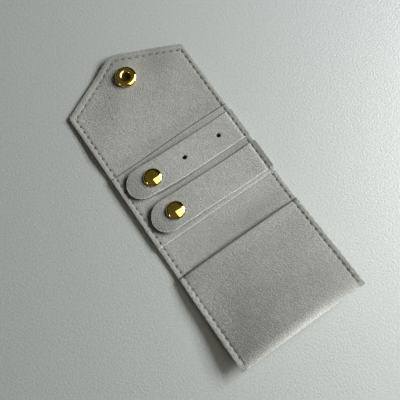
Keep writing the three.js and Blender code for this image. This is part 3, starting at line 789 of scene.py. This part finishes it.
# Painted shadow lines on the lining: in front of the pocket's mouth, and just below the strap panel's lower
# edge.
mouth_shadow = 0.85 * np.exp(-((s + CREASE + 0.35) / 0.5) ** 2) * (1 - 0.2 * step(18, 36, x))
panel_edge_shadow = 0.2 * np.exp(-((s - PANEL_FROM + 0.25) / 0.35) ** 2)
mark(lining_pocket, "painted_shadow_and_tarnish", mouth_shadow + panel_edge_shadow)
shape_ply(lining_pocket, LINING_AT, LINING, lay_pocket, press_bare_lining, pocket_droop)
keep(lining_pocket, suede_inside, POCKET_BEND, "pocket_lining", "middle_lining", slot="suede_inside")

# %% [markdown]
# ## Strap panel
# A third ply covers the upper two thirds of the middle panel. It hides the rivets of the
# studs, and its sides go into the same seams. It is cut like the others, with one edge bowed
# into the crease. The straps rest on it. Along their edges and under their holes it is painted
# darker, a fine line of painted shadow that the render's own shadow is too soft to give.

# %% Places on the strap panel
def press_panel(x, s, level):
    """The seam's relief, but not under the tails of the straps."""
    tail = np.zeros_like(s)
    for strap in STRAPS.values():
        beside = np.abs(s - strap["y"])
        tail = np.maximum(tail, step(STRAP_SEAM_HALF + 1.2, STRAP_SEAM_HALF + 0.3, beside) * (x > 20))
    return level * (1 - tail) * seam_relief(x, s, 0.38, 0.36)


def beyond_edge(kind, x, s, edge):
    """How far outside a long edge of the closed strap a place on the panel lies."""
    strap = STRAPS[kind]
    side = 1 if edge == "upper" else -1
    middle = strap["y"] + (SEAM_X - x) * math.tan(strap["skew"])
    return (s - (middle + side * np.interp(SEAM_X - x, *strap[edge]))) * side


STUD_PLACES = {}
for kind in STRAPS:
    low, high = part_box(f"{kind}_stud")
    STUD_PLACES[kind] = ((low[0] + high[0]) / 2 / MM, (low[1] + high[1]) / 2 / MM)
print("studs stand at", STUD_PLACES)

# %% Strap panel
panel = cut_grid("strap_panel_cloth", ACROSS, spaced(
    (PANEL_FROM, -11, 0.22), (-11, 5.4, 0.65), (5.4, 8, 0.22), (8, 10.2, 0.65), (10.2, 11.8, 0.22),
    (11.8, 28, 0.65), (28, 30.4, 0.22), (30.4, PANEL_TO, 0.4)))
points = read(panel)
points[:, 1] += upper_edge_bow(points[:, 0]) * step(PANEL_TO - 8, PANEL_TO, points[:, 1])
write(panel, points)
thicken(panel, PANEL, [(x, y, STUD_PUNCH) for x, y in STUD_PLACES.values()], edge=0.14)
x, s, _ = read(panel).T
# Painted shadow: dark under the earring strap's holes and in lines along the straps' long edges.
shadow_lines = np.zeros_like(x)
skew, strap_y = STRAPS["earring"]["skew"], STRAPS["earring"]["y"]
for reach in STRAPS["earring"]["holes"]:
    from_hole = np.hypot(x - (SEAM_X - reach * math.cos(skew)), s - (strap_y + reach * math.sin(skew)))
    shadow_lines = np.maximum(shadow_lines, 1 - step(1.7, 2.3, from_hole))
EDGE_SHADOW_LINES = (
    ("earring", "upper", 0.5), ("earring", "lower", 0.2), ("ring", "upper", 0.62), ("ring", "lower", 0.05))
for kind, edge, amount in EDGE_SHADOW_LINES:
    amount = amount + (0.25 * step(6, 30, x) if edge == "upper" else 2 * amount * step(12, -14, x))
    line = amount * np.exp(-((beyond_edge(kind, x, s, edge) - 0.3) / 0.42) ** 2)
    shadow_lines = np.maximum(shadow_lines, line * step(-26, -20, x) * step(SEAM_X, SEAM_X - 1, x))
mark(panel, "painted_shadow_and_tarnish", shadow_lines)
# A painted highlight along the panel's lower edge, which faces the light.
mark(panel, "painted_highlight", 0.34 * np.exp(-((s - PANEL_FROM - 0.45) / 0.4) ** 2))
shape_ply(panel, PANEL_AT, PANEL, lay_flap, press_panel)
keep(panel, suede_inside, "middle", "strap_panel", slot="suede_inside")

# %% [markdown]
# ## Straps
# Each strap is one cut piece: a tail caught in the right-hand seam, a long flat run, and a
# half-round end with the snap. Its rows are spaced by the sine, so that they close up towards
# the long edges and make an even arc at the end. The earring strap has two punched holes.
# Each is drawn with even edges first, marked, and then trimmed to its real edges as it is laid.

# %% Cutting and marking a strap
def cut_strap(kind):
    strap = STRAPS[kind]
    bend = strap["long"] - STRAP_HALF
    tail = SEAM_IN + strap["overhang"]
    cloth = cut_grid(
        f"{kind}_strap_cloth", np.sin(np.radians(np.linspace(-90, 90, 55))) * STRAP_HALF,
        spaced((-tail, -0.9, 0.3), (-0.9, 0.9, 0.1), (0.9, bend, 0.6), (bend, strap["long"], 0.5)))
    points = read(cloth)
    across, along, _ = points.T
    share = np.clip((along - bend) / STRAP_HALF, 0, 1)
    arc_reach = np.sqrt(np.clip(STRAP_HALF ** 2 - across ** 2, 0, None))
    points[:, 1] = np.where(along > bend, bend + share * arc_reach, along)
    write(cloth, points)
    modify(cloth, "WELD", merge_threshold=0.01)
    holes = [(0, STRAP_SNAP, SNAP_PUNCH)] + [(0, reach, EARRING_PUNCH) for reach in strap["holes"]]
    thicken(cloth, STRAP, holes, edge=0.3, segments=3)
    return cloth


def hole_gap(strap, across, along):
    """Distance from the rim of the nearest punched hole."""
    gaps = [np.hypot(across, along - reach) - EARRING_PUNCH for reach in strap["holes"]]
    return np.min(gaps, axis=0) if gaps else np.full_like(across, 99)


def mark_strap(cloth, strap):
    """The nap is pressed at the seam. A painted highlight runs along the lower edge, round the end and just
    past the seam; painted shade darkens the tail, and painted shadow the holes and the bend at the seam.
    """
    across, along, _ = read(cloth).T
    bend = strap["long"] - STRAP_HALF
    round_end = np.where(along > bend, STRAP_HALF - np.hypot(across, along - bend), 99)
    from_edge = np.minimum(STRAP_HALF - np.abs(across), round_end)
    mark(cloth, "wear", 0.9 * np.exp(-(along / 0.7) ** 2))
    # Painted shade on the tail beyond the seam, painted highlight on the edges that face the light, painted
    # shadow in the holes.
    mark(cloth, "painted_shade", strap["tail_shade"] * (1 - step(-0.9, 0.1, along)))
    edge_highlight = 0.6 * np.exp(-(from_edge / 0.35) ** 2) * (along > 0) * (across < 4)
    mark(cloth, "painted_highlight", edge_highlight + 0.3 * np.exp(-((along - 0.95) / 0.6) ** 2))
    hole_shade = 0.5 * (hole_gap(strap, across, along) < 0.06)
    mark(cloth, "painted_shadow_and_tarnish", np.maximum(hole_shade, 0.35 * np.exp(-(along / 0.45) ** 2)))


# %% Laying a strap
def trimmed(strap, across, along):
    """The real edges wander by a millimetre; the round end leans to one side."""
    upper, lower = (np.interp(along, *strap[edge]) for edge in ("upper", "lower"))
    lean = np.maximum(step(2, 9, np.abs(across)), step(58, 64, along))
    bend = strap["long"] - STRAP_HALF
    side = across * (upper + lower) / (2 * STRAP_HALF) + lean * (upper - lower) / 2
    return side, np.where(along > bend, bend + (along - bend) * strap["end"], along)


def lay_down(cloth, kind):
    """Lay a strap from its seam over the panel onto its stud, with its own small bends."""
    strap, lay = STRAPS[kind], lay_strap(kind)
    across, along, h = read(cloth).T
    snap = np.hypot(across, along - STRAP_SNAP)
    gap = hole_gap(strap, across, along)
    across, along = trimmed(strap, across, along)
    x, y, _ = lay(across, along, h)
    free = step(1, 8, along) * (1 - np.exp(-(snap / 5.5) ** 4))
    lift = 2.2 * step(6, 54, along) - math.sin(STRAP_TILT) * np.clip(along, 0, STRAP_SNAP)
    droop = -2.1 * np.clip((along - 59) / 12, 0, 1) ** 1.5
    bow = np.where(along < STRAP_SNAP, lift, droop)
    wave = 0.08 * np.sin(along / 7.5 + across / 9 + (1.0 if kind == "ring" else 0.0))
    seat = 0.13 * np.exp(-((snap - 5.4) / 1.1) ** 2)
    press = seam_relief(x, y, 0.5, 0.0) * (along < 6) + 0.2 * np.clip(-along / SEAM_IN, 0, 1)
    press = press - 0.22 * np.exp(-(gap / 0.45) ** 2)
    lifted = h + free * (bow + wave) + np.clip(h / STRAP, 0, 1) * (seat + press)
    write(cloth, np.stack(lay(across, along, lifted), 1))


# A strap's bend is given as two points, BEND_HALF on either side of the seam at the height BEND_Z.
BEND_HALF, BEND_Z = 0.8, 3.5
straps = {}
for kind, strap in STRAPS.items():
    straps[kind] = cut_strap(kind)
    mark_strap(straps[kind], strap)
    lay_down(straps[kind], kind)
    bend = [((SEAM_X + out) * MM, strap["y"] * MM, BEND_Z * MM) for out in (BEND_HALF, -BEND_HALF)]
    body = f"{kind}_strap"
    keep(straps[kind], suede_strap, ("middle", body, *bend), body, f"{body}_tail", slot="suede_strap")

# %% [markdown]
# ## Snaps
# Caps, sockets and studs are pressed and rolled from brass sheet, so each is a round profile.
# A circle is extruded and scaled from one row of the profile to the next, as a lathe hand
# would follow it. Closed profiles end where they began, and a cap closes at its two poles.
# Spin would turn a drawn outline too, but this way the rows stay whole circles.

# %% Turning tool
POLE = 0.02


def turned(name, profile, rounds=72):
    """A round piece from [radius, height] rows, first to last."""
    clear()
    (radius, height), rest = profile[0], profile[1:]
    fill = "NGON" if radius == 0 else "NOTHING"
    first = POLE if radius == 0 else radius
    bpy.ops.mesh.primitive_circle_add(vertices=rounds, radius=first, location=(0, 0, height), fill_type=fill)
    piece = named(name)
    bpy.ops.object.transform_apply(location=True)
    bpy.ops.object.mode_set(mode="EDIT")
    bpy.ops.mesh.select_mode(type="EDGE")
    bpy.ops.mesh.select_all(action="DESELECT")
    if radius == 0:
        bpy.ops.mesh.select_non_manifold()
    else:
        bpy.ops.mesh.select_all(action="SELECT")
    here, level = first, height
    for next_radius, next_height in rest:
        target = max(next_radius, POLE)
        bpy.ops.mesh.extrude_edges_move()
        bpy.ops.transform.resize(value=(target / here, target / here, 1), center_override=(0, 0, level))
        bpy.ops.transform.translate(value=(0, 0, next_height - level))
        here, level = target, next_height
    if rest[-1][0] == 0:
        bpy.ops.mesh.edge_face_add()
    bpy.ops.mesh.select_all(action="SELECT")
    bpy.ops.mesh.remove_doubles(threshold=0.001)
    bpy.ops.mesh.normals_make_consistent(inside=False)
    bpy.ops.object.mode_set(mode="OBJECT")
    return piece


def copy_of(piece, name):
    pick(piece)
    bpy.ops.object.duplicate()
    return named(name)


# %% Snap profiles
SEAT, FACE_GAP, PIP = 0.15, 0.15, 1.95
BORE, CUP, POST, POST_BORE, ROLL, CLEAR = 2.3, 2.6, 1.45, 1.05, 0.35, 0.2
CLOSURE_SOCKET, CLOSURE_PIP = 1.8, 2.1
STRAP_SOCKET, STRAP_PIP = 1.5, 1.5


def arc(start, end, centre, across, along, rows):
    angles = np.radians(np.linspace(start, end, rows))
    return [[centre[0] + across * math.cos(a), centre[1] + along * math.sin(a)] for a in angles]


def cup_floor(height, pip):
    """The cup is as deep as the pip and the rolled end of the cap's post need."""
    return height - (pip - FACE_GAP + ROLL + CLEAR + 0.175)


def post_length(fabric, height, pip):
    return fabric + 2 * SEAT + cup_floor(height, pip) + CLEAR / 2 + ROLL


def cap_profile(radius, height, post):
    rim = height * 0.22
    dome = [[max(r, 0.0), z] for r, z in arc(90, 0, (0, rim), radius, height - rim, 19)]
    dome[0][0] = 0
    lip = [[radius * 0.992, rim * 0.55], [radius * 0.975, rim * 0.2], [radius * 0.94, 0],
           [radius * 0.90, 0.02], [radius * 0.86, rim * 0.6]]
    stem = [[POST + 0.3, rim * 0.6], [POST, rim * 0.45], [POST, ROLL - post],
            [POST + CLEAR + 0.15, 0.7 * ROLL - post], [POST + CLEAR + 0.05, -post],
            [POST_BORE + 0.15, -post], [POST_BORE, 0.7 * ROLL - post], [POST_BORE, -SEAT], [0, rim * 0.4]]
    return dome + lip + stem


def socket_profile(radius, height, pip):
    floor = cup_floor(height, pip)
    crest = radius * 0.64
    outer = [[CUP, 0], [radius * 0.95, 0], [radius * 0.985, height * 0.05], [radius, height * 0.14]]
    crown = arc(0, 90, (crest, height * 0.3), radius - crest, height * 0.7, 14)
    inner = arc(90, 168, (crest, height * 0.45), crest - BORE - 0.02, height * 0.55, 10)[1:]
    bore = [[BORE, height * 0.5], [BORE, floor], [POST + CLEAR, floor], [POST + CLEAR, floor - 0.3],
            [CUP - 0.15, floor - 0.3], [CUP, floor], [CUP, 0]]
    return outer + crown + inner + bore


def stud_profile(radius, flange, pip):
    """A flange, and on it a pip with a waist, given as shares of their radius and height."""
    bore, top = 1.0, flange + pip
    rim = [(0.95, 0), (0.99, 0.2), (1, 0.45), (0.985, 0.75), (0.95, 0.92), (0.86, 1), (0.78, 1)]
    waist = [(0.95, 0.05), (0.88, 0.14), (0.86, 0.3), (0.88, 0.46), (0.97, 0.6), (1, 0.7), (0.985, 0.84),
             (0.9, 0.96)]
    return [[bore, 0], *([radius * r, flange * z] for r, z in rim), [PIP * 1.12, flange * 0.9],
            *([PIP * r, flange + pip * z] for r, z in waist), [PIP * 0.8, top],
            [bore + 0.45, top], [bore + 0.12, top - 0.1], [bore, top - 0.4], [bore, 0]]


floor_height = round(cup_floor(CLOSURE_SOCKET, CLOSURE_PIP), 3)
print("closure socket floor", floor_height, "mm above its flange")

# %% [markdown]
# ## Setting the snaps
# A snap is turned once for each size, and the straps get copies. Each half is laid by the same
# function as its cloth, so it stands square on it. The flap's cap, the pocket's stud and the
# straps' sockets point down, so they are turned over first.

# %% Snaps of the flap and the pocket
def place_turned(piece, lay, x, s, base, upside_down=False):
    points = read(piece)
    deep = (points[:, 2] < 0.6) if "cap" in piece.name else "socket" in piece.name
    from_axis = np.hypot(points[:, 0], points[:, 1])
    # Near the axis, the sockets' bores and the caps' undersides are marked dark: tarnish and painted shade.
    mark(piece, "painted_shadow_and_tarnish", 0.97 * (1 - step(BORE - 0.1, BORE + 0.5, from_axis)) * deep)
    if upside_down:
        points[:, 1:] *= -1
    write(piece, np.stack(lay(points[:, 0] + x, points[:, 1] + s, points[:, 2] + base), 1))


def keep_snap(piece, body, node):
    keep(piece, brass_polished, body, node, slot="brass_polished", angle=50)


cap_post = post_length(LINING_TOP, CLOSURE_SOCKET, CLOSURE_PIP)
closure_cap = turned("closure_cap_brass", cap_profile(6.25, 2.4, cap_post))
place_turned(closure_cap, lay_flap, SNAP_X, CREASE + SNAP_REACH, -SEAT, upside_down=True)
keep_snap(closure_cap, "flap", "closure_cap")
closure_socket = turned("closure_socket_brass", socket_profile(6.25, CLOSURE_SOCKET, CLOSURE_PIP))
place_turned(closure_socket, lay_flap, SNAP_X, CREASE + SNAP_REACH, LINING_TOP + SEAT)
keep_snap(closure_socket, "flap", "closure_socket")
closure_stud = turned("closure_stud_brass", stud_profile(5.2, 0.6, CLOSURE_PIP))
place_turned(closure_stud, lay_pocket, SNAP_X, -CREASE - STUD_REACH, -SEAT, upside_down=True)
keep_snap(closure_stud, "pocket", "closure_stud")

# %% Snaps of the straps
cap_post = post_length(STRAP, STRAP_SOCKET, STRAP_PIP)
cap_shape = turned("cap_shape", cap_profile(5.3, 2.3, cap_post))
socket_shape = turned("socket_shape", socket_profile(5.0, STRAP_SOCKET, STRAP_PIP))
stud_shape = turned("stud_shape", stud_profile(4.5, 0.45, STRAP_PIP))
for kind in STRAPS:
    cap = copy_of(cap_shape, f"{kind}_cap_brass")
    place_turned(cap, lay_strap(kind), 0, STRAP_SNAP, STRAP + SEAT)
    keep_snap(cap, f"{kind}_strap", f"{kind}_cap")
    socket = copy_of(socket_shape, f"{kind}_socket_brass")
    place_turned(socket, lay_strap(kind), 0, STRAP_SNAP, -SEAT, upside_down=True)
    keep_snap(socket, f"{kind}_strap", f"{kind}_socket")
    stud = copy_of(stud_shape, f"{kind}_stud_brass")
    place_turned(stud, lay_flap, *STUD_PLACES[kind], PANEL_TOP + SEAT)
    keep_snap(stud, "middle", f"{kind}_stud")
clear()
for shape in (cap_shape, socket_shape, stud_shape):
    shape.select_set(True)
bpy.ops.object.delete()

# %% Rivets
for node in ("closure_rivet", "earring_rivet", "ring_rivet"):
    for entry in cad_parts[node].material_slots:
        entry.material = brass_inner
print("rivets keep their solids, in", brass_inner.name)

# %% [markdown]
# ## Stitches
# A stitch is a short length of thread that dips into a needle hole at each end. A thread drawn
# as one long curve would be hidden in the cloth for half its way, so only the stitches are
# made: one from a small ball, and an Array repeats it along a run. The runs of one body are
# joined, and the thread of the flap is laid as the flap is, over its crease. Thread on the back
# lies on the outside face, and thread on the front sinks into the groove.

# %% One stitch
clear()
bpy.ops.mesh.primitive_uv_sphere_add(segments=8, ring_count=7, radius=0.5, rotation=(math.pi / 2, 0, 0))
stitch = named("stitch")
bpy.ops.object.transform_apply(rotation=True)
bpy.ops.transform.resize(value=(0.56, STITCH_LENGTH, 0.34))
bpy.ops.object.transform_apply(scale=True)
points = read(stitch)
points[:, 2] -= 0.16 * (points[:, 1] / (STITCH_LENGTH / 2)) ** 4
write(stitch, points)
print("stitch", len(stitch.data.polygons), "faces", [round(v, 2) for v in stitch.dimensions])

# %% Runs of stitches
BACK, FACE_DOWN = 0.17, -0.22
FLAP_THREAD_TO, POCKET_THREAD_FROM = CREASE - 1, -31.5


def run_of(start, end, count, pitch, level):
    """Stitches from start to end on the pattern, at height level above it."""
    run = copy_of(stitch, "run")
    heading = math.atan2(end[1] - start[1], end[0] - start[0]) - math.pi / 2
    modify(run, "ARRAY", count=count, use_relative_offset=False, use_constant_offset=True,
           constant_offset_displace=(0, pitch, 0))
    pick(run)
    run.rotation_euler[2] = heading
    run.location = (start[0], start[1], level)
    bpy.ops.object.transform_apply(location=True, rotation=True)
    return run


def side_runs(high, low, level):
    """Both long sides between two places, counted from the flap's first stitch."""
    first = math.ceil((FIRST_STITCH - high) / STITCH_PITCH - 1e-6)
    last = math.floor((FIRST_STITCH - low) / STITCH_PITCH + 1e-6)
    start = FIRST_STITCH - first * STITCH_PITCH
    ends = [((side * SEAM_X, start), (side * SEAM_X, start - 1)) for side in (-1, 1)]
    return [run_of(a, b, last - first + 1, STITCH_PITCH, level) for a, b in ends]


def join_runs(name, runs):
    pick(runs[0])
    for run in runs:
        run.select_set(True)
    bpy.ops.object.join()
    return named(name)


# %% Thread of the flap
slants = []
for side in (-1, 1):
    a = np.array([side * SEAM_CORNER[0], CREASE + SEAM_CORNER[1]])
    b = np.array([0.0, CREASE + SEAM_TIP[1]])
    first = a + (b - a) / SLANT_STITCHES * 0.5
    for level in (LINING_TOP + FACE_DOWN, BACK):
        slants.append(run_of(first, b, SLANT_STITCHES, SLANT_PITCH, level))
front = side_runs(FIRST_STITCH, FLAP_THREAD_TO, LINING_TOP + FACE_DOWN)
back = side_runs(FIRST_STITCH, FLAP_THREAD_TO, BACK)
flap_thread = join_runs("stitches_flap", front + back + slants)
x, s, h = read(flap_thread).T
write(flap_thread, np.stack(lay_flap(x, s, h + drape(x, s)), 1))
keep(flap_thread, thread, FLAP_BEND, angle=60)


# %% Thread of the middle panel
def middle_level(x, s):
    """Height of the top face that the seam goes through, beside the straps' tails."""
    level = np.where(s > PANEL_FROM, PANEL_TOP, LINING_TOP)
    for strap in STRAPS.values():
        level = np.where((x > 0) & (np.abs(s - strap["y"]) < STRAP_SEAM_HALF), TAIL_TOP - 0.1, level)
    return level


middle_thread = join_runs("stitches_middle_top", side_runs(FLAP_THREAD_TO, POCKET_THREAD_FROM, 0))
x, s, h = read(middle_thread).T
centre = FIRST_STITCH - np.rint((FIRST_STITCH - s) / STITCH_PITCH) * STITCH_PITCH
write(middle_thread, np.stack(lay_flap(x, s, h + middle_level(x, centre) + FACE_DOWN), 1))
keep(middle_thread, thread, "middle", angle=60)
back_thread = join_runs("stitches_middle_back", side_runs(FLAP_THREAD_TO, POCKET_THREAD_FROM, BACK))
keep(back_thread, thread, "middle", angle=60)

# %% Thread of the pocket
# The back runs are made 9 mm low, so that their points can be told from those of the front.
BELOW = -9
FRONT_STOP, BACK_STOP = 3.5, 5.5
pocket_end = -CREASE - POCKET_REACH
front = side_runs(POCKET_THREAD_FROM, pocket_end + FRONT_STOP, 0)
back = side_runs(POCKET_THREAD_FROM, pocket_end + BACK_STOP, BELOW)
pocket_thread = join_runs("stitches_pocket", front + back)
x, s, h = read(pocket_thread).T
top_level = np.where(-CREASE - s > 0.6, FRONT_TOP - 0.42, LINING_TOP + FACE_DOWN)
level = np.where(h < BELOW / 2, h - BELOW + BACK, h + top_level)
write(pocket_thread, np.stack(lay_pocket(x, s, level + pocket_droop(x, s)), 1))
keep(pocket_thread, thread, POCKET_BEND, angle=60)
pick(stitch)
bpy.ops.object.delete()

# %% [markdown]
# ## Table
# The table is painted board with a fine plaster-like tooth and a satin gloss, which is why it
# brightens towards the light. The tooth is a bump, since it is too shallow to show an outline.

# %% Table
def make_table():
    material, tree, where = new_material("painted_board_satin")
    tooth = add(tree, "TexNoise", {"Scale": grains(1.2), "Detail": 4.0, "Roughness": 0.6}, {"Vector": where})
    tone = add(tree, "MapRange", {1: 0.3, 2: 0.7}, {0: tooth})
    colour = add(tree, "Mix", {"data_type": "RGBA", 6: linear("#a4a9a8"), 7: linear("#aeb3b2")}, {0: tone})
    bump = add(tree, "Bump", {"Strength": 0.7, "Distance": 0.27 * MM}, {"Height": tooth})
    shader = add(
        tree, "BsdfPrincipled", {"Roughness": 0.42, "Specular IOR Level": 0.9},
        {"Base Color": colour, "Normal": bump})
    add(tree, "OutputMaterial", None, {"Surface": shader})
    return material


clear()
bpy.ops.mesh.primitive_plane_add(size=3, location=(0, 0, 0))
table = named("table_top")
bpy.ops.object.mode_set(mode="EDIT")
bpy.ops.mesh.subdivide(number_cuts=6)
bpy.ops.object.mode_set(mode="OBJECT")
table.data.materials.append(make_table())
print("table", [round(v, 2) for v in table.dimensions], "m")

# %% [markdown]
# ## Light
# The light comes from a window to the right of the picture, a little above its middle. A lit
# wall below fills the shadows a little, and the rest of the room is dim, so shadows are dark
# and lean to the left. The metal mirrors more of the room than lights the cloth: a bright
# curtain and ceiling to the right, a dim ceiling above and a far window on the left. Lamps
# that only glossy rays see stand for those, so that they don't brighten the matt cloth.

# %% Lamps
def sky(azimuth, elevation, distance):
    """Place of a lamp, and the turn that makes it face the origin."""
    a, e = math.radians(azimuth), math.radians(elevation)
    flat = distance * math.cos(e)
    return (flat * math.cos(a), flat * math.sin(a), distance * math.sin(e)), (0, math.pi / 2 - e, a)


def lamp(name, place, turn, size, power, colour):
    clear()
    bpy.ops.object.light_add(type="AREA", location=place, rotation=turn)
    light = bpy.context.object
    light.name = name
    light.data.shape = "RECTANGLE"
    light.data.size, light.data.size_y = size
    light.data.energy = power
    light.data.color = linear(colour)[:3]
    light.visible_camera = False
    return light


def overhead(span, high):
    """Place and turn of a square lamp whose left edge is above the middle of the table."""
    return (span / 2, 0.08 - span / 2, high), (0, 0, 0)


lamp("window", *sky(-16, 36, 0.9), (0.36, 0.58), 14.45, "#fdfefe")
lamp("lit_wall", *sky(-105, 30, 1.0), (0.9, 0.6), 0.6, "#ffe9c8").visible_glossy = False
mirrored = [
    lamp("bright_ceiling", *overhead(1.9, 1.0), (1.9, 1.9), 6.8, "#fffdf2"),
    lamp("bright_curtain", *overhead(1.0, 0.98), (1.0, 1.0), 6.9, "#fffdf2"),
    lamp("far_window", *sky(176, 34, 1.0), (0.1, 0.1), 0.45, "#fffdf2"),
    lamp("dim_ceiling", (-0.2, 0.3, 1.05), (0, 0, 0), (2.0, 2.4), 1.5, "#fff0b8"),
]
for light in mirrored:
    light.visible_diffuse = False
print("lamps seen only in the metal", [light.name for light in mirrored])

# %% Room
world = bpy.context.scene.world or bpy.data.worlds.new("room")
bpy.context.scene.world = world
world.use_nodes = True
tree = world.node_tree
tree.nodes.clear()
direction = add(tree, "TexCoord").outputs["Generated"]
height = add(tree, "SeparateXYZ", None, {0: direction}).outputs["Z"]
ramp = add(tree, "ValToRGB", None, {"Fac": height})
stops = ramp.color_ramp.elements
stops[0].position, stops[0].color = 0.0, linear("#6d6a61")
stops[1].position, stops[1].color = 1.0, linear("#3c3c37")
stops.new(0.35).color = linear("#57554d")
furniture = add(tree, "TexNoise", {"Scale": 1.8, "Detail": 1.0}, {"Vector": direction})
uneven = add(tree, "MapRange", {1: 0.38, 2: 0.62, 3: 0.25, 4: 0.9}, {0: furniture})
aside = add(tree, "VectorMath", {"operation": "DOT_PRODUCT", 1: (-0.17, 0.98, 0)}, {0: direction})
shade = add(tree, "MapRange", {1: -0.1, 2: 0.6, 3: 1.0, 4: 0.15}, {0: aside.outputs["Value"]})
strength = add(tree, "Math", {"operation": "MULTIPLY"}, {0: uneven, 1: shade})
background = add(tree, "Background", None, {"Color": ramp, "Strength": strength})
add(tree, "OutputWorld", None, {"Surface": background})
bpy.context.scene.view_settings.view_transform = "Standard"
print("world", world.name)
